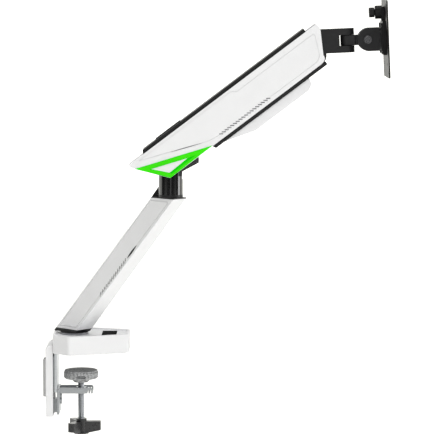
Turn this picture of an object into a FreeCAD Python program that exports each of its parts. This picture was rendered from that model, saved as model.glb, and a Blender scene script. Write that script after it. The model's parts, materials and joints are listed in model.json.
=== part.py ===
"""Gas-spring monitor arm with a desk clamp.

The arm stands on the desk by the base underside (z = 0). The base swivel axis is the z axis,
+x runs from the desk edge onto the desk, and +y runs sideways. All sizes are in millimetres.
The arm is drawn with the lower arm swung 45 degrees to the side and the spring arm raised.
"""
import FreeCAD, Part
import math
import os

V = FreeCAD.Vector
X_AXIS = V(1, 0, 0)
Y_AXIS = V(0, 1, 0)
Z_AXIS = V(0, 0, 1)

# Running clearance of a pin or shaft in its bore, on the radius.
RUNNING = 0.05
# Length that a cutting tool reaches past a shape.
CUT = 30.0

# Base housing on the desk.
BASE_HEIGHT = 30.0
BASE_REAR = -32.4
BASE_REAR_HALF = 37.0
BASE_WIDEST_X = -6.0
BASE_WIDEST_HALF = 62.0
BASE_FRONT = 87.0
BASE_FRONT_HALF = 29.0
BASE_CORNER = 7.0
BASE_WALL = 3.0
BASE_RIM = 4.0
BASE_RECESS = 3.0
TRAY_DEPTH = 1.5
BASE_LIFT = 0.6
INSERT_CENTRE_X = 55.0
INSERT_LENGTH = 23.0
INSERT_WIDTH = 56.0
INSERT_PROUD = 0.6
DESK_PAD_THICK = 1.6

# Desk clamp.
PLATE_THICK = 3.8
CLAMP_PLATE_X = -30.4
CLAMP_HALF_WIDTH = 28.0
CLAMP_PLATE_BOTTOM = -63.0
CLAMP_PLATE_FRONT = 70.0
JAW_SEAT = 0.4
BASE_SCREW_PLACES = [(-18.0, -20.0), (-18.0, 20.0), (42.0, -20.0), (42.0, 20.0)]
BASE_SCREW_R = 2.5
BASE_SCREW_HEAD_R = 4.5
BASE_SCREW_HEAD = 3.0
DESK_PAD_REAR = -24.4
BACK_COVER_REAR = -44.0
BACK_COVER_FRONT = -32.5
BACK_COVER_BOTTOM = -101.0
BACK_COVER_TOP = 13.0
SHOULDER_RISE = 6.3
BACK_COVER_HALF = 33.0
BACK_COVER_WALL = 2.5
HOLLOW_TOP = -2.0
JAW_FRONT = 29.0
JAW_TOP = -57.5
JAW_BOTTOM = -66.6
JAW_HALF_WIDTH = 16.0
JAW_SHEET = 3.5
JAW_LEG_BOTTOM = -99.0
JAW_LEG_HALF = 24.0
JAW_BOLT_HEIGHTS = (-72.0, -80.5)
JAW_BOLT_R = 3.0
JAW_BOLT_HEAD_R = 5.0
JAW_BOLT_HEAD = 3.0
BLOCK_TOP = -76.0
BLOCK_HALF = 8.0
STRIP_PLACES = (-18.0, 18.0)
STRIP_HALF = 4.0
JAW_NUT_R = 8.0
SCREW_X = 10.0
SPINDLE_R = 5.0
PAD_TOP = -31.0
GRIP_THICK = 3.0
PAD_R = 27.0
PAD_BOTTOM = -50.0
PAD_SOCKET = 9.0
KNOB_TOP = -108.5
KNOB_BOTTOM = -132.5
KNOB_R = 31.0
KNOB_HUB_R = 8.5
KNOB_FOOT_R = 12.0
KNOB_LOBES = 3
LOBE_HALF = 6.0
LOBE_TOP = -112.7
LOBE_BOTTOM = -130.8
LOBE_TIP_BOTTOM = -126.9
LOBE_CORNER = 3.0
SPINDLE_SEAT = 14.0

# Cable guide on the rear of the clamp cover.
GUIDE_DEPTH = 5.5
GUIDE_HALF = 12.0
GUIDE_WALL = 1.8
GUIDE_GAP_HALF = 3.0
GUIDE_BOTTOM = -72.0
GUIDE_TOP = -12.5

# Base swivel.
SWIVEL_R = 12.0
HOUSING_R = 22.0
BOSS_GAP = 0.3
SWIVEL_GAP = 1.0
FEET_REAR = -24.0
FEET_FRONT = 48.0
FEET_HALF = 26.0
FEET_THICK = 4.0
NUT_SPACE_R = 18.0
NUT_SPACE_TOP = 14.0

# Lower arm: a slanted box, square cut at foot and top, turned about the base swivel.
LOWER_YAW = -45.0
LOWER_RUN = 220.0
FOOT_Z = BASE_HEIGHT + SWIVEL_GAP
FOOT_THICK = 5.0
LOWER_TOP_Z = 255.5
TOP_PLATE_THICK = 2.0
LOWER_LENGTH = 49.4
LOWER_FOOT_BACK = -30.8
LOWER_TOP_BACK = LOWER_RUN - 30.1
LOWER_FOOT_HALF = 16.0
LOWER_TOP_HALF = 13.2
SHELL_WALL = 2.4
SHELL_FOOT = FOOT_Z + FOOT_THICK
INLAY_FOOT = SHELL_FOOT + 4.0
INLAY_TOP = LOWER_TOP_Z - 4.0
INLAY_BACK = 3.3
INLAY_FRONT = 6.0
INLAY_DEPTH = 1.2
INLAY_SEAM = 0.9
CORE_CHANNEL_FOOT = 62.0
CORE_CHANNEL_TOP = 236.0
CORE_FRONT = 5.0
CORE_CHANNEL_BACK = 10.0
CORE_CHANNEL_SIDE = 5.0
CLIP_MARGIN = 30.0
CLIP_REACH = 2.4
FRONT_COVER_THICK = 2.4

# Elbow.
COLLAR_R = 18.4
COLLAR_TOP = 261.0
ELBOW_BARREL_R = 18.4
ELBOW_BARREL_TOP = 298.0
ELBOW_POST_R = 12.0
POST_STEP_R = 8.0
POST_FOOT_Z = 248.0
CHEEK_OUTER = 14.0
CHEEK_INNER = 7.0
ELBOW_CHEEK = [(-13, 290), (-16.5, 300), (-16.5, 316), (-10.5, 338), (8.5, 338), (14, 324),
               (42.5, 318), (42.5, 310.4), (17.4, 297), (17.4, 290)]
PIVOT_BOSS_R = 10.5
REAR_WEDGE = [(-29.5, LOWER_TOP_Z + TOP_PLATE_THICK), (-19.2, COLLAR_TOP + 12), (-19.2, COLLAR_TOP - 0.5),
              (-12, COLLAR_TOP - 0.5), (-12, LOWER_TOP_Z + TOP_PLATE_THICK)]
REAR_WEDGE_HALF = 11.5

# Parallelogram: main pivots carry the spring arm, link pivots carry the two link bars.
ARM_REACH = 267.0
ARM_ANGLE = 37.0
MAIN_PIVOT = V(-1.0, 0, 335.5)
LINK_OFFSET = V(7.7, 0, -25.0)
MAIN_PIN_R = 4.5
LINK_PIN_R = 4.0
LINK_INNER = 15.0
LINK_OUTER = 18.5
LINK_HALF_HEIGHT = 6.0

# Spring arm section, measured from the line between its main pivots.
CHANNEL_HALF = 23.0
CHANNEL_WALL = 3.0
CHANNEL_TOP = 14.7
COVER_INNER = 23.2
COVER_OUTER = 27.0
COVER_PARTING = 0.1
PANEL_DEPTH = 1.5
PANEL_SEAM = 0.4
COVER_BOTTOM = -38.1
RAIL_HALF = 22.0
RAIL_THICK = 5.5
LOBE_CLEAR_A = 237.0
CHANNEL_SIDE = [(-24, CHANNEL_TOP), (-24, 2), (-8, -24), (14, -36), (258, -36), (264, -30), (271, -12),
                (271, 10), (262, CHANNEL_TOP)]
WEB_THICK = 3.2
COVER_SIDE = [(-66.5, CHANNEL_TOP), (-66.0, 11.5), (-63.0, 5.7), (-27.9, COVER_BOTTOM),
              (259.0, COVER_BOTTOM), (265.7, -33.6), (265.7, -29.1), (286.2, 6.3), (285.3, CHANNEL_TOP)]
COVER_END = [(-66.2, CHANNEL_TOP), (-63.0, 5.7), (-48, -13.0), (-46, -10.8), (-60.6, 7.0),
             (-62.5, CHANNEL_TOP)]
PANEL_SIDE = [(-51.0, 10.9), (123.5, 10.9), (130.0, 5.7), (275.0, 5.7), (261.5, -26.0),
              (253.5, -31.4), (72.0, -31.4), (51.3, -28.4)]
TRIM_OUTER = [(-61.8, 4.6), (-27.9, -38.0), (52.2, -37.2)]
TRIM_INNER = [(-43.0, -10.3), (-25.3, -30.9), (6.6, -28.7)]
TRIM_SUNK = 0.8
TRIM_PROUD = 1.2
TOP_RAIL_SIDE = [(-39.3, CHANNEL_TOP), (265.7, CHANNEL_TOP), (265.7, CHANNEL_TOP + RAIL_THICK),
                 (-36.0, CHANNEL_TOP + RAIL_THICK)]
BOTTOM_RAIL_FACE = COVER_BOTTOM - 0.3
BOTTOM_RAIL_SIDE = [(51.3, BOTTOM_RAIL_FACE), (54.0, -43.8), (262.7, -43.8), (262.7, BOTTOM_RAIL_FACE)]
TENSION_A = 12.0
TENSION_HEAD_R = 3.1
LID_START = -10.5
LID_END = 34.5
LID_HALF = 7.8
TROUGH_TOP = -43.9
TROUGH_SIDE = [(67.9, TROUGH_TOP), (74, -45.5), (117, -58.8), (216, -58.8), (226, -54), (228.5, TROUGH_TOP)]
TROUGH_SPACE = [(60, TROUGH_TOP + 1), (60, -44.5), (76, -45.5), (118, -56.8), (240, -56.8),
                (240, TROUGH_TOP + 1)]
TROUGH_HALF = 16.0
TROUGH_WALL = 2.0

# Gas strut inside the spring arm.
STRUT_PIVOT_R = 14.0
STRUT_PIVOT_ANGLE = -83.0
STRUT_AXIS = -12.5
STRUT_BODY_R = 11.0
STRUT_BODY_START = 70.0
STRUT_BODY_END = 212.0
STRUT_BORE_R = 9.0
STRUT_END_WALL = 8.0
STRUT_ROD_R = 4.0
STRUT_EYE_A = 222.0
STRUT_EYE_HALF = 5.5
STRUT_PIN_R = 4.0
STRUT_FOOT_PIN_R = 3.0
STRUT_SLOT_HALF = 4.9
STRUT_SLOT_REACH = 3.9
STRUT_SLOT_WALL = 2.4
PISTON_START = 142.0
PISTON_END = 150.0

# Head, measured from the pan axis along the head's own line.
HEAD_LEAN = 2.5
PAN_FROM_PIVOT = V(50.9, 0, -2.4)
HEAD_LINK_BOSS_R = 14.0
CLEVIS_REAR = -38.8
CLEVIS_R = 12.9
CLEVIS_HALF_HEIGHT = 18.2
CLEVIS_SLOT_HALF = 8.3
TONGUE_R = 8.0
TONGUE_HALF_HEIGHT = 7.9
NECK_END = 14.0
LUG_HALF = 5.0
LUG_END_R = 9.5
PAN_PIN_R = 4.5
TILT_H = 32.7
TILT_R = 17.5
TILT_CHEEK = 13.0
TILT_SLOT_HALF = 5.2
TILT_BOLT_R = 4.0
TILT_FACE_H = 53.4
TILT_DISC_THICK = 3.5
TILT_FLAT_START = 3.0
TILT_NOSE = 2.0
TILT_SLOT_END = 10.3
BOLT_HEAD_R = 6.0
BOLT_HEAD_THICK = 3.0
ADAPTER_H = 54.4
ADAPTER_THICK = 4.8
ADAPTER_HALF = 24.0
ADAPTER_SPIGOT_R = 8.0
SCREW_HEIGHT = 40.0
TAB_HALF = 11.0
TAB_BOSS_R = 10.0
TAB_BOSS_LENGTH = 9.0
VESA_SIDE = 116.0
VESA_THICK = 2.2
VESA_H = 59.3
VESA_CORNER = 6.0
RAIL_SHEET = 2.5
RAIL_FOOT = -22.0
LIP_REACH = 3.5
LIP_THICK = 2.0
STOP_START = 13.0
VESA_HOLE_R = 2.5
VESA_PITCHES = (75.0, 100.0)
THUMB_R = 7.5
THUMB_SHAFT_R = 3.0


# ---------------------------------------------------------------- drawing helpers

def box(x0, x1, y0, y1, z0, z1):
    """A block between two opposite corners."""
    return Part.makeBox(x1 - x0, y1 - y0, z1 - z0, V(x0, y0, z0))


def rod(radius, start, end):
    """A round bar from one point to another."""
    return Part.makeCylinder(radius, (end - start).Length, start, end - start)


def cross_pin(radius, x, z, y0, y1):
    """A round bar along y."""
    return rod(radius, V(x, y0, z), V(x, y1, z))


def outline(points, radius):
    """A closed wire through the points, with every corner rounded by the same radius."""
    edges = []
    ends = []
    count = len(points)
    for i, corner in enumerate(points):
        to_last = (points[i - 1] - corner).normalize()
        to_next = (points[(i + 1) % count] - corner).normalize()
        half = to_last.getAngle(to_next) / 2
        reach = radius / math.tan(half)
        middle = corner + (to_last + to_next).normalize() * (radius / math.sin(half) - radius)
        ends.append((corner + to_last * reach, middle, corner + to_next * reach))
    for i, (start, middle, end) in enumerate(ends):
        if radius > 0:
            edges.append(Part.Arc(start, middle, end).toShape())
        edges.append(Part.LineSegment(end, ends[(i + 1) % count][0]).toShape())
    return Part.Wire(edges)


def side_plate(points, y0, y1, radius=0.0):
    """A flat plate drawn in the x-z plane, from y0 to y1."""
    wire = outline([V(x, y0, z) for x, z in points], radius)
    return Part.Face(wire).extrude(V(0, y1 - y0, 0))


def floor_plate(points, z0, z1, radius=0.0):
    """A flat plate drawn in the x-y plane, from z0 to z1."""
    wire = outline([V(x, y, z0) for x, y in points], radius)
    return Part.Face(wire).extrude(V(0, 0, z1 - z0))


def mirrored(shape):
    """The same shape on the far side of the x-z plane."""
    return shape.mirror(V(0, 0, 0), Y_AXIS)


def capsule(x0, x1, z, radius, y0, y1):
    """A bar with round ends, in the x-z plane."""
    ends = [cross_pin(radius, x, z, y0, y1) for x in (x0, x1)]
    return ends[0].fuse([ends[1], box(x0, x1, y0, y1, z - radius, z + radius)])


def hexagon(across_flats, centre, direction, length):
    """A hexagonal prism that starts at the centre point."""
    prism = Part.Face(Part.makePolygon([
        V(across_flats / math.sqrt(3) * math.cos(k * math.pi / 3),
          across_flats / math.sqrt(3) * math.sin(k * math.pi / 3), 0) for k in range(7)
    ])).extrude(V(0, 0, length))
    prism.Placement = FreeCAD.Placement(centre, FreeCAD.Rotation(Z_AXIS, direction))
    return prism


def turned(profile, x, y):
    """A solid of revolution about a vertical axis, from (radius, z) points."""
    points = [V(r, 0, z) for r, z in profile]
    solid = Part.Face(Part.makePolygon(points + points[:1])).revolve(V(0, 0, 0), Z_AXIS, 360)
    solid.translate(V(x, y, 0))
    return solid


# ---------------------------------------------------------------- placing helpers

ELBOW = V(LOWER_RUN * math.cos(math.radians(LOWER_YAW)),
          LOWER_RUN * math.sin(math.radians(LOWER_YAW)), 0)


def turn(vector, degrees):
    """A vector raised in the x-z plane, so that +x turns towards +z."""
    c, s = math.cos(math.radians(degrees)), math.sin(math.radians(degrees))
    return V(vector.x * c - vector.z * s, vector.y, vector.x * s + vector.z * c)


LINK_PIVOT = MAIN_PIVOT + LINK_OFFSET
STRUT_PIVOT = MAIN_PIVOT + turn(V(STRUT_PIVOT_R, 0, 0), STRUT_PIVOT_ANGLE)


def on_lower_arm(shape):
    """Lower arm pieces are drawn with the arm pointing along +x."""
    shape.rotate(V(0, 0, 0), Z_AXIS, LOWER_YAW)
    return shape


def on_elbow(shape):
    """Elbow pieces are drawn about the elbow axis."""
    shape.translate(ELBOW)
    return shape


def on_spring_arm(shape):
    """Spring arm pieces are drawn level, with the elbow's main pivot at the origin."""
    shape.rotate(V(0, 0, 0), Y_AXIS, -ARM_ANGLE)
    shape.translate(ELBOW + MAIN_PIVOT)
    return shape


HEAD_PIVOT = ELBOW + MAIN_PIVOT + turn(V(ARM_REACH, 0, 0), ARM_ANGLE)


def on_head_pivot(shape):
    """Pieces drawn about the main pivot at the head."""
    shape.translate(HEAD_PIVOT)
    return shape


def on_head(shape):
    """Head pieces are drawn level, with the pan axis at the origin."""
    shape.rotate(V(0, 0, 0), Y_AXIS, -HEAD_LEAN)
    shape.translate(HEAD_PIVOT + PAN_FROM_PIVOT)
    return shape


def from_head(point):
    """The place, about the head's main pivot, of a point given on the head's own line."""
    return turn(point, HEAD_LEAN) + PAN_FROM_PIVOT


# ---------------------------------------------------------------- base and clamp

def base_outline(inset):
    """The six-cornered plan of the base, pulled in all round."""
    rear, front = BASE_REAR + inset, BASE_FRONT - inset
    side = [(rear, BASE_REAR_HALF - inset * 0.5), (BASE_WIDEST_X, BASE_WIDEST_HALF - inset * 1.05),
            (front, BASE_FRONT_HALF - inset * 0.75)]
    return side + [(x, -y) for x, y in reversed(side)]


def base_cover():
    """The white housing: a rim all round a sunk floor, open underneath."""
    inner_radius = BASE_CORNER - BASE_WALL
    cover = floor_plate(base_outline(0), BASE_LIFT, BASE_HEIGHT, BASE_CORNER)
    hollow = floor_plate(base_outline(BASE_WALL), 0, BASE_HEIGHT - BASE_RECESS - BASE_WALL, inner_radius)
    recess = floor_plate(base_outline(BASE_RIM), BASE_HEIGHT - BASE_RECESS, BASE_HEIGHT + 1, inner_radius)
    tray = box(INSERT_CENTRE_X - INSERT_LENGTH / 2, INSERT_CENTRE_X + INSERT_LENGTH / 2,
               -INSERT_WIDTH / 2, INSERT_WIDTH / 2, BASE_HEIGHT - BASE_RECESS - TRAY_DEPTH, BASE_HEIGHT)
    boss_hole = rod(HOUSING_R + BOSS_GAP, V(0, 0, 0), V(0, 0, BASE_HEIGHT + 1))
    arm_notch = box(BASE_REAR - 1, CLAMP_PLATE_X + PLATE_THICK + 1, -CLAMP_HALF_WIDTH - 0.5,
                    CLAMP_HALF_WIDTH + 0.5, 0, DESK_PAD_THICK + PLATE_THICK + 1)
    return cover.cut([hollow, recess, tray, boss_hole, arm_notch])


def base_insert():
    """The black tray between the arm and the front of the base."""
    gap = 0.2
    return box(INSERT_CENTRE_X - INSERT_LENGTH / 2 + gap, INSERT_CENTRE_X + INSERT_LENGTH / 2 - gap,
               -INSERT_WIDTH / 2 + gap, INSERT_WIDTH / 2 - gap,
               BASE_HEIGHT - BASE_RECESS - TRAY_DEPTH, BASE_HEIGHT - BASE_RECESS + INSERT_PROUD)


def desk_pad():
    pad = floor_plate(base_outline(BASE_WALL + 0.4), 0, DESK_PAD_THICK, BASE_CORNER - BASE_WALL)
    return pad.common(box(DESK_PAD_REAR, BASE_FRONT, -BASE_WIDEST_HALF, BASE_WIDEST_HALF, 0, DESK_PAD_THICK))


def clamp_bracket():
    """The steel angle: a plate under the base and a plate down the desk edge, seated for the jaw."""
    top = DESK_PAD_THICK + PLATE_THICK
    front = CLAMP_PLATE_X + PLATE_THICK
    half = CLAMP_HALF_WIDTH
    flat = box(CLAMP_PLATE_X, CLAMP_PLATE_FRONT, -half, half, DESK_PAD_THICK, top)
    upright = box(CLAMP_PLATE_X, front, -half, half, CLAMP_PLATE_BOTTOM, top)
    seat = box(front - JAW_SEAT, front + 1, -half, half, CLAMP_PLATE_BOTTOM, JAW_TOP)
    holes = [rod(BASE_SCREW_R, V(x, y, 0), V(x, y, top + 1)) for x, y in BASE_SCREW_PLACES]
    return flat.fuse(upright).cut([seat] + holes)


def swivel_housing():
    """The cast boss that carries the arm's spindle, with feet for the base screws."""
    floor = DESK_PAD_THICK + PLATE_THICK
    boss = rod(HOUSING_R, V(0, 0, floor), V(0, 0, BASE_HEIGHT))
    feet = box(FEET_REAR, FEET_FRONT, -FEET_HALF, FEET_HALF, floor, floor + FEET_THICK)
    nut_space = rod(NUT_SPACE_R, V(0, 0, floor), V(0, 0, NUT_SPACE_TOP))
    bore = rod(SWIVEL_R + RUNNING, V(0, 0, floor), V(0, 0, BASE_HEIGHT))
    holes = [rod(BASE_SCREW_R, V(x, y, 0), V(x, y, floor + 5)) for x, y in BASE_SCREW_PLACES]
    return boss.fuse(feet).cut([nut_space, bore] + holes)


def base_screws():
    floor = DESK_PAD_THICK + PLATE_THICK
    screws = []
    for x, y in BASE_SCREW_PLACES:
        seat = floor + FEET_THICK
        shank = rod(BASE_SCREW_R, V(x, y, DESK_PAD_THICK + 0.3), V(x, y, seat))
        head = rod(BASE_SCREW_HEAD_R, V(x, y, seat), V(x, y, seat + BASE_SCREW_HEAD))
        screws.append(shank.fuse(head))
    return Part.makeCompound(screws)


def swivel_bush():
    """The plastic thrust washer under the arm's foot."""
    ring = rod(HOUSING_R, V(0, 0, BASE_HEIGHT), V(0, 0, FOOT_Z))
    return ring.cut(rod(SWIVEL_R + BOSS_GAP, V(0, 0, BASE_HEIGHT), V(0, 0, FOOT_Z)))


def back_cover():
    """The white cover over the clamp plate, with a rounded shoulder at the top."""
    rear, front, bottom, top = BACK_COVER_REAR, BACK_COVER_FRONT, BACK_COVER_BOTTOM, BACK_COVER_TOP
    start = top - SHOULDER_RISE
    half_turn = math.sqrt(0.5)
    shoulder = V(front - (front - rear) * half_turn, 0, start + SHOULDER_RISE * half_turn)
    edges = [
        Part.LineSegment(V(front, 0, top), V(front, 0, bottom)),
        Part.LineSegment(V(front, 0, bottom), V(rear, 0, bottom)),
        Part.LineSegment(V(rear, 0, bottom), V(rear, 0, start)),
        Part.Arc(V(rear, 0, start), shoulder, V(front, 0, top)),
    ]
    profile = Part.Face(Part.Wire([edge.toShape() for edge in edges]))
    body = profile.extrude(V(0, 2 * BACK_COVER_HALF, 0))
    body.translate(V(0, -BACK_COVER_HALF, 0))
    wall = BACK_COVER_WALL
    inner = BACK_COVER_HALF - wall
    hollow = box(rear + wall, front + 1, -inner, inner, bottom + wall, HOLLOW_TOP)
    return body.cut(hollow)


def clamp_spacers():
    """The steel block behind the jaw's leg, and two strips on the plate, that carry the back cover."""
    rear = BACK_COVER_FRONT - 6
    seat = CLAMP_PLATE_X + PLATE_THICK - JAW_SEAT
    strips = [box(rear, CLAMP_PLATE_X, y - STRIP_HALF, y + STRIP_HALF, CLAMP_PLATE_BOTTOM, HOLLOW_TOP - 4)
              for y in STRIP_PLACES]
    block = box(rear, seat, -BLOCK_HALF, BLOCK_HALF, JAW_LEG_BOTTOM + 1, BLOCK_TOP)
    lower_bolt = JAW_BOLT_HEIGHTS[1]
    hole = rod(JAW_BOLT_R, V(rear + 2, 0, lower_bolt), V(seat + 1, 0, lower_bolt))
    return Part.makeCompound(strips + [block.cut(hole)])


def cable_hook():
    """The cable guide on the rear of the clamp cover: two hooked walls with a gap between them."""
    rear = BACK_COVER_REAR - GUIDE_DEPTH
    inner = GUIDE_HALF - GUIDE_WALL
    outside = box(rear, BACK_COVER_REAR, -GUIDE_HALF, GUIDE_HALF, GUIDE_BOTTOM, GUIDE_TOP)
    space = box(rear + GUIDE_WALL, BACK_COVER_REAR, -inner, inner, GUIDE_BOTTOM, GUIDE_TOP)
    gap = box(rear, BACK_COVER_REAR, -GUIDE_GAP_HALF, GUIDE_GAP_HALF, GUIDE_BOTTOM, GUIDE_TOP)
    return outside.cut([space, gap])


def jaw_bracket():
    """The pressed steel jaw: a channel under the desk and a leg seated on the clamp plate."""
    rear = CLAMP_PLATE_X + PLATE_THICK - JAW_SEAT
    channel_side = [(rear, JAW_BOTTOM), (JAW_FRONT, JAW_BOTTOM), (JAW_FRONT, JAW_TOP - 2),
                    (JAW_FRONT - 2, JAW_TOP), (rear, JAW_TOP)]
    inner = JAW_HALF_WIDTH - JAW_SHEET
    flange = side_plate(channel_side, -JAW_HALF_WIDTH, -inner)
    web = box(rear, JAW_FRONT, -inner, inner, JAW_BOTTOM, JAW_BOTTOM + JAW_SHEET)
    leg = box(rear, rear + JAW_SHEET, -JAW_LEG_HALF, JAW_LEG_HALF, JAW_LEG_BOTTOM, JAW_TOP)
    holes = [rod(JAW_BOLT_R, V(rear - 1, 0, z), V(rear + 5, 0, z)) for z in JAW_BOLT_HEIGHTS]
    holes.append(rod(JAW_NUT_R, V(SCREW_X, 0, JAW_BOTTOM - 1), V(SCREW_X, 0, JAW_TOP)))
    return leg.fuse([flange, mirrored(flange), web]).cut(holes)


def jaw_bolts():
    """The short upper bolt ends in the leg; the lower one reaches into the block behind it."""
    rear = CLAMP_PLATE_X + PLATE_THICK - JAW_SEAT
    face = rear + JAW_SHEET
    bolts = []
    for z, depth in zip(JAW_BOLT_HEIGHTS, (0, 6)):
        shank = rod(JAW_BOLT_R, V(rear - depth, 0, z), V(face, 0, z))
        head = rod(JAW_BOLT_HEAD_R, V(face, 0, z), V(face + JAW_BOLT_HEAD, 0, z))
        socket = hexagon(4.5, V(face + 1.2, 0, z), X_AXIS, JAW_BOLT_HEAD)
        bolts.append(shank.fuse(head).cut(socket))
    return Part.makeCompound(bolts)


def jaw_nut():
    """The threaded collar pressed into the jaw."""
    web_top = JAW_BOTTOM + JAW_SHEET
    collar = rod(JAW_NUT_R, V(SCREW_X, 0, JAW_BOTTOM), V(SCREW_X, 0, JAW_TOP - 0.5))
    flange = rod(11.0, V(SCREW_X, 0, web_top), V(SCREW_X, 0, web_top + 2))
    bore = rod(SPINDLE_R + RUNNING, V(SCREW_X, 0, JAW_BOTTOM), V(SCREW_X, 0, JAW_TOP))
    return collar.fuse(flange).cut(bore)


def pad_cup():
    """The pressed steel saucer that turns on the end of the clamp screw."""
    rim = PAD_TOP - GRIP_THICK
    bore = SPINDLE_R + RUNNING
    socket_top = PAD_BOTTOM + PAD_SOCKET
    profile = [(0, rim), (PAD_R, rim), (PAD_R, rim - 8), (PAD_R - 2, rim - 10), (15, rim - 12),
               (11, PAD_BOTTOM), (bore, PAD_BOTTOM), (bore, socket_top), (0, socket_top)]
    return turned(profile, SCREW_X, 0)


def pad_rubber():
    """The grip disc on top of the saucer."""
    return rod(PAD_R - 1, V(SCREW_X, 0, PAD_TOP - GRIP_THICK), V(SCREW_X, 0, PAD_TOP))


def clamp_spindle():
    """The clamp screw, from its seat in the knob to its socket in the pad."""
    top = PAD_BOTTOM + PAD_SOCKET - 0.2
    return rod(SPINDLE_R, V(SCREW_X, 0, KNOB_TOP - SPINDLE_SEAT), V(SCREW_X, 0, top))


def clamp_knob():
    """The hand knob: a hub with three straight lobes that thin out towards their tips."""
    hub = rod(KNOB_HUB_R, V(SCREW_X, 0, KNOB_BOTTOM), V(SCREW_X, 0, KNOB_TOP))
    foot = rod(KNOB_FOOT_R, V(SCREW_X, 0, KNOB_BOTTOM), V(SCREW_X, 0, LOBE_BOTTOM + 0.5))
    side = [(0, LOBE_BOTTOM), (KNOB_FOOT_R, LOBE_BOTTOM), (KNOB_R, LOBE_TIP_BOTTOM), (KNOB_R, LOBE_TOP),
            (0, LOBE_TOP)]
    plan = [(0, -LOBE_HALF), (KNOB_R, -LOBE_HALF), (KNOB_R, LOBE_HALF), (0, LOBE_HALF)]
    lobe = side_plate(side, -LOBE_HALF, LOBE_HALF)
    rounded = floor_plate([(x - LOBE_CORNER if x == 0 else x, y) for x, y in plan],
                          KNOB_BOTTOM, KNOB_TOP, LOBE_CORNER)
    lobe = lobe.common(rounded)
    lobes = []
    for k in range(KNOB_LOBES):
        turned_lobe = lobe.copy()
        turned_lobe.rotate(V(0, 0, 0), Z_AXIS, 360.0 * k / KNOB_LOBES)
        turned_lobe.translate(V(SCREW_X, 0, 0))
        lobes.append(turned_lobe)
    bore = rod(SPINDLE_R, V(SCREW_X, 0, KNOB_TOP - SPINDLE_SEAT), V(SCREW_X, 0, KNOB_TOP + 1))
    return hub.fuse([foot] + lobes).cut(bore).removeSplitter()


# ---------------------------------------------------------------- lower arm

def slanted_block(z0, z1, back=0.0, front=0.0, side=0.0):
    """A level-cut length of the slanted arm, pulled in at its back, front and sides."""
    sections = []
    for z in (z0, z1):
        share = (z - FOOT_Z) / (LOWER_TOP_Z - FOOT_Z)
        start = LOWER_FOOT_BACK + share * (LOWER_TOP_BACK - LOWER_FOOT_BACK)
        half = LOWER_FOOT_HALF + share * (LOWER_TOP_HALF - LOWER_FOOT_HALF) - side
        x0, x1 = start + back, start + LOWER_LENGTH - front
        corners = [V(x0, -half, z), V(x1, -half, z), V(x1, half, z), V(x0, half, z)]
        sections.append(Part.makePolygon(corners + corners[:1]))
    return Part.makeLoft(sections, True, True)


def lower_arm_core():
    """The cast beam: foot plate, open channel and top plate with the elbow post's socket."""
    foot = slanted_block(FOOT_Z, SHELL_FOOT)
    beam = slanted_block(SHELL_FOOT, LOWER_TOP_Z, SHELL_WALL, CORE_FRONT, SHELL_WALL)
    cap = slanted_block(LOWER_TOP_Z, LOWER_TOP_Z + TOP_PLATE_THICK)
    channel = slanted_block(CORE_CHANNEL_FOOT, CORE_CHANNEL_TOP, CORE_CHANNEL_BACK, -1, CORE_CHANNEL_SIDE)
    spindle_seat = rod(SWIVEL_R, V(0, 0, FOOT_Z - 1), V(0, 0, FOOT_Z + 3))
    post_socket = rod(POST_STEP_R, V(LOWER_RUN, 0, POST_FOOT_Z), V(LOWER_RUN, 0, LOWER_TOP_Z + 6))
    return on_lower_arm(foot.fuse([beam, cap]).cut([channel, spindle_seat, post_socket]))


def inlay_solid(gap):
    """The inlay on one side of the lower arm, smaller by a gap all round."""
    whole = slanted_block(INLAY_FOOT + gap, INLAY_TOP - gap, INLAY_BACK + gap, INLAY_FRONT + gap)
    core = slanted_block(INLAY_FOOT - 1, INLAY_TOP + 1, side=INLAY_DEPTH)
    near_side = box(-LOWER_RUN, 2 * LOWER_RUN, -LOWER_LENGTH, 0, 0, COLLAR_TOP)
    return whole.cut(core).common(near_side)


def lower_arm_cover():
    """The white outer shell: two sides and the upper face, open underneath."""
    outer = slanted_block(SHELL_FOOT, LOWER_TOP_Z)
    inner = slanted_block(SHELL_FOOT - 1, LOWER_TOP_Z + 1, SHELL_WALL, -5, SHELL_WALL)
    front = slanted_block(SHELL_FOOT - 1, LOWER_TOP_Z + 1, LOWER_LENGTH - FRONT_COVER_THICK - 0.1, -5, -5)
    recess = inlay_solid(0)
    return on_lower_arm(outer.cut([inner, front, recess, mirrored(recess)]))


def lower_panel(far):
    panel = inlay_solid(INLAY_SEAM)
    return on_lower_arm(mirrored(panel) if far else panel)


def lower_cable_cover():
    """The clip-on cover that closes the cable channel on the arm's underside."""
    thick, clip_foot, clip_top = FRONT_COVER_THICK, SHELL_FOOT + CLIP_MARGIN, LOWER_TOP_Z - CLIP_MARGIN
    plate = slanted_block(SHELL_FOOT, LOWER_TOP_Z, LOWER_LENGTH - thick)
    clips = slanted_block(clip_foot, clip_top, LOWER_LENGTH - thick - CLIP_REACH, thick - 0.1, 3.0)
    hollow = slanted_block(clip_foot - 1, clip_top + 1, LOWER_LENGTH - thick - CLIP_REACH - 1, thick, 4.5)
    return on_lower_arm(plate.fuse(clips.cut(hollow)))


def swivel_spindle():
    """The steel spindle under the foot, which turns in the base."""
    return rod(SWIVEL_R, V(0, 0, 6.6), V(0, 0, FOOT_Z + 3))


def swivel_nut():
    """The ring nut that holds the spindle down in the base."""
    ring = hexagon(29, V(0, 0, 7.5), Z_AXIS, 6.0)
    return ring.cut(rod(SWIVEL_R, V(0, 0, 7), V(0, 0, 14)))


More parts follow.
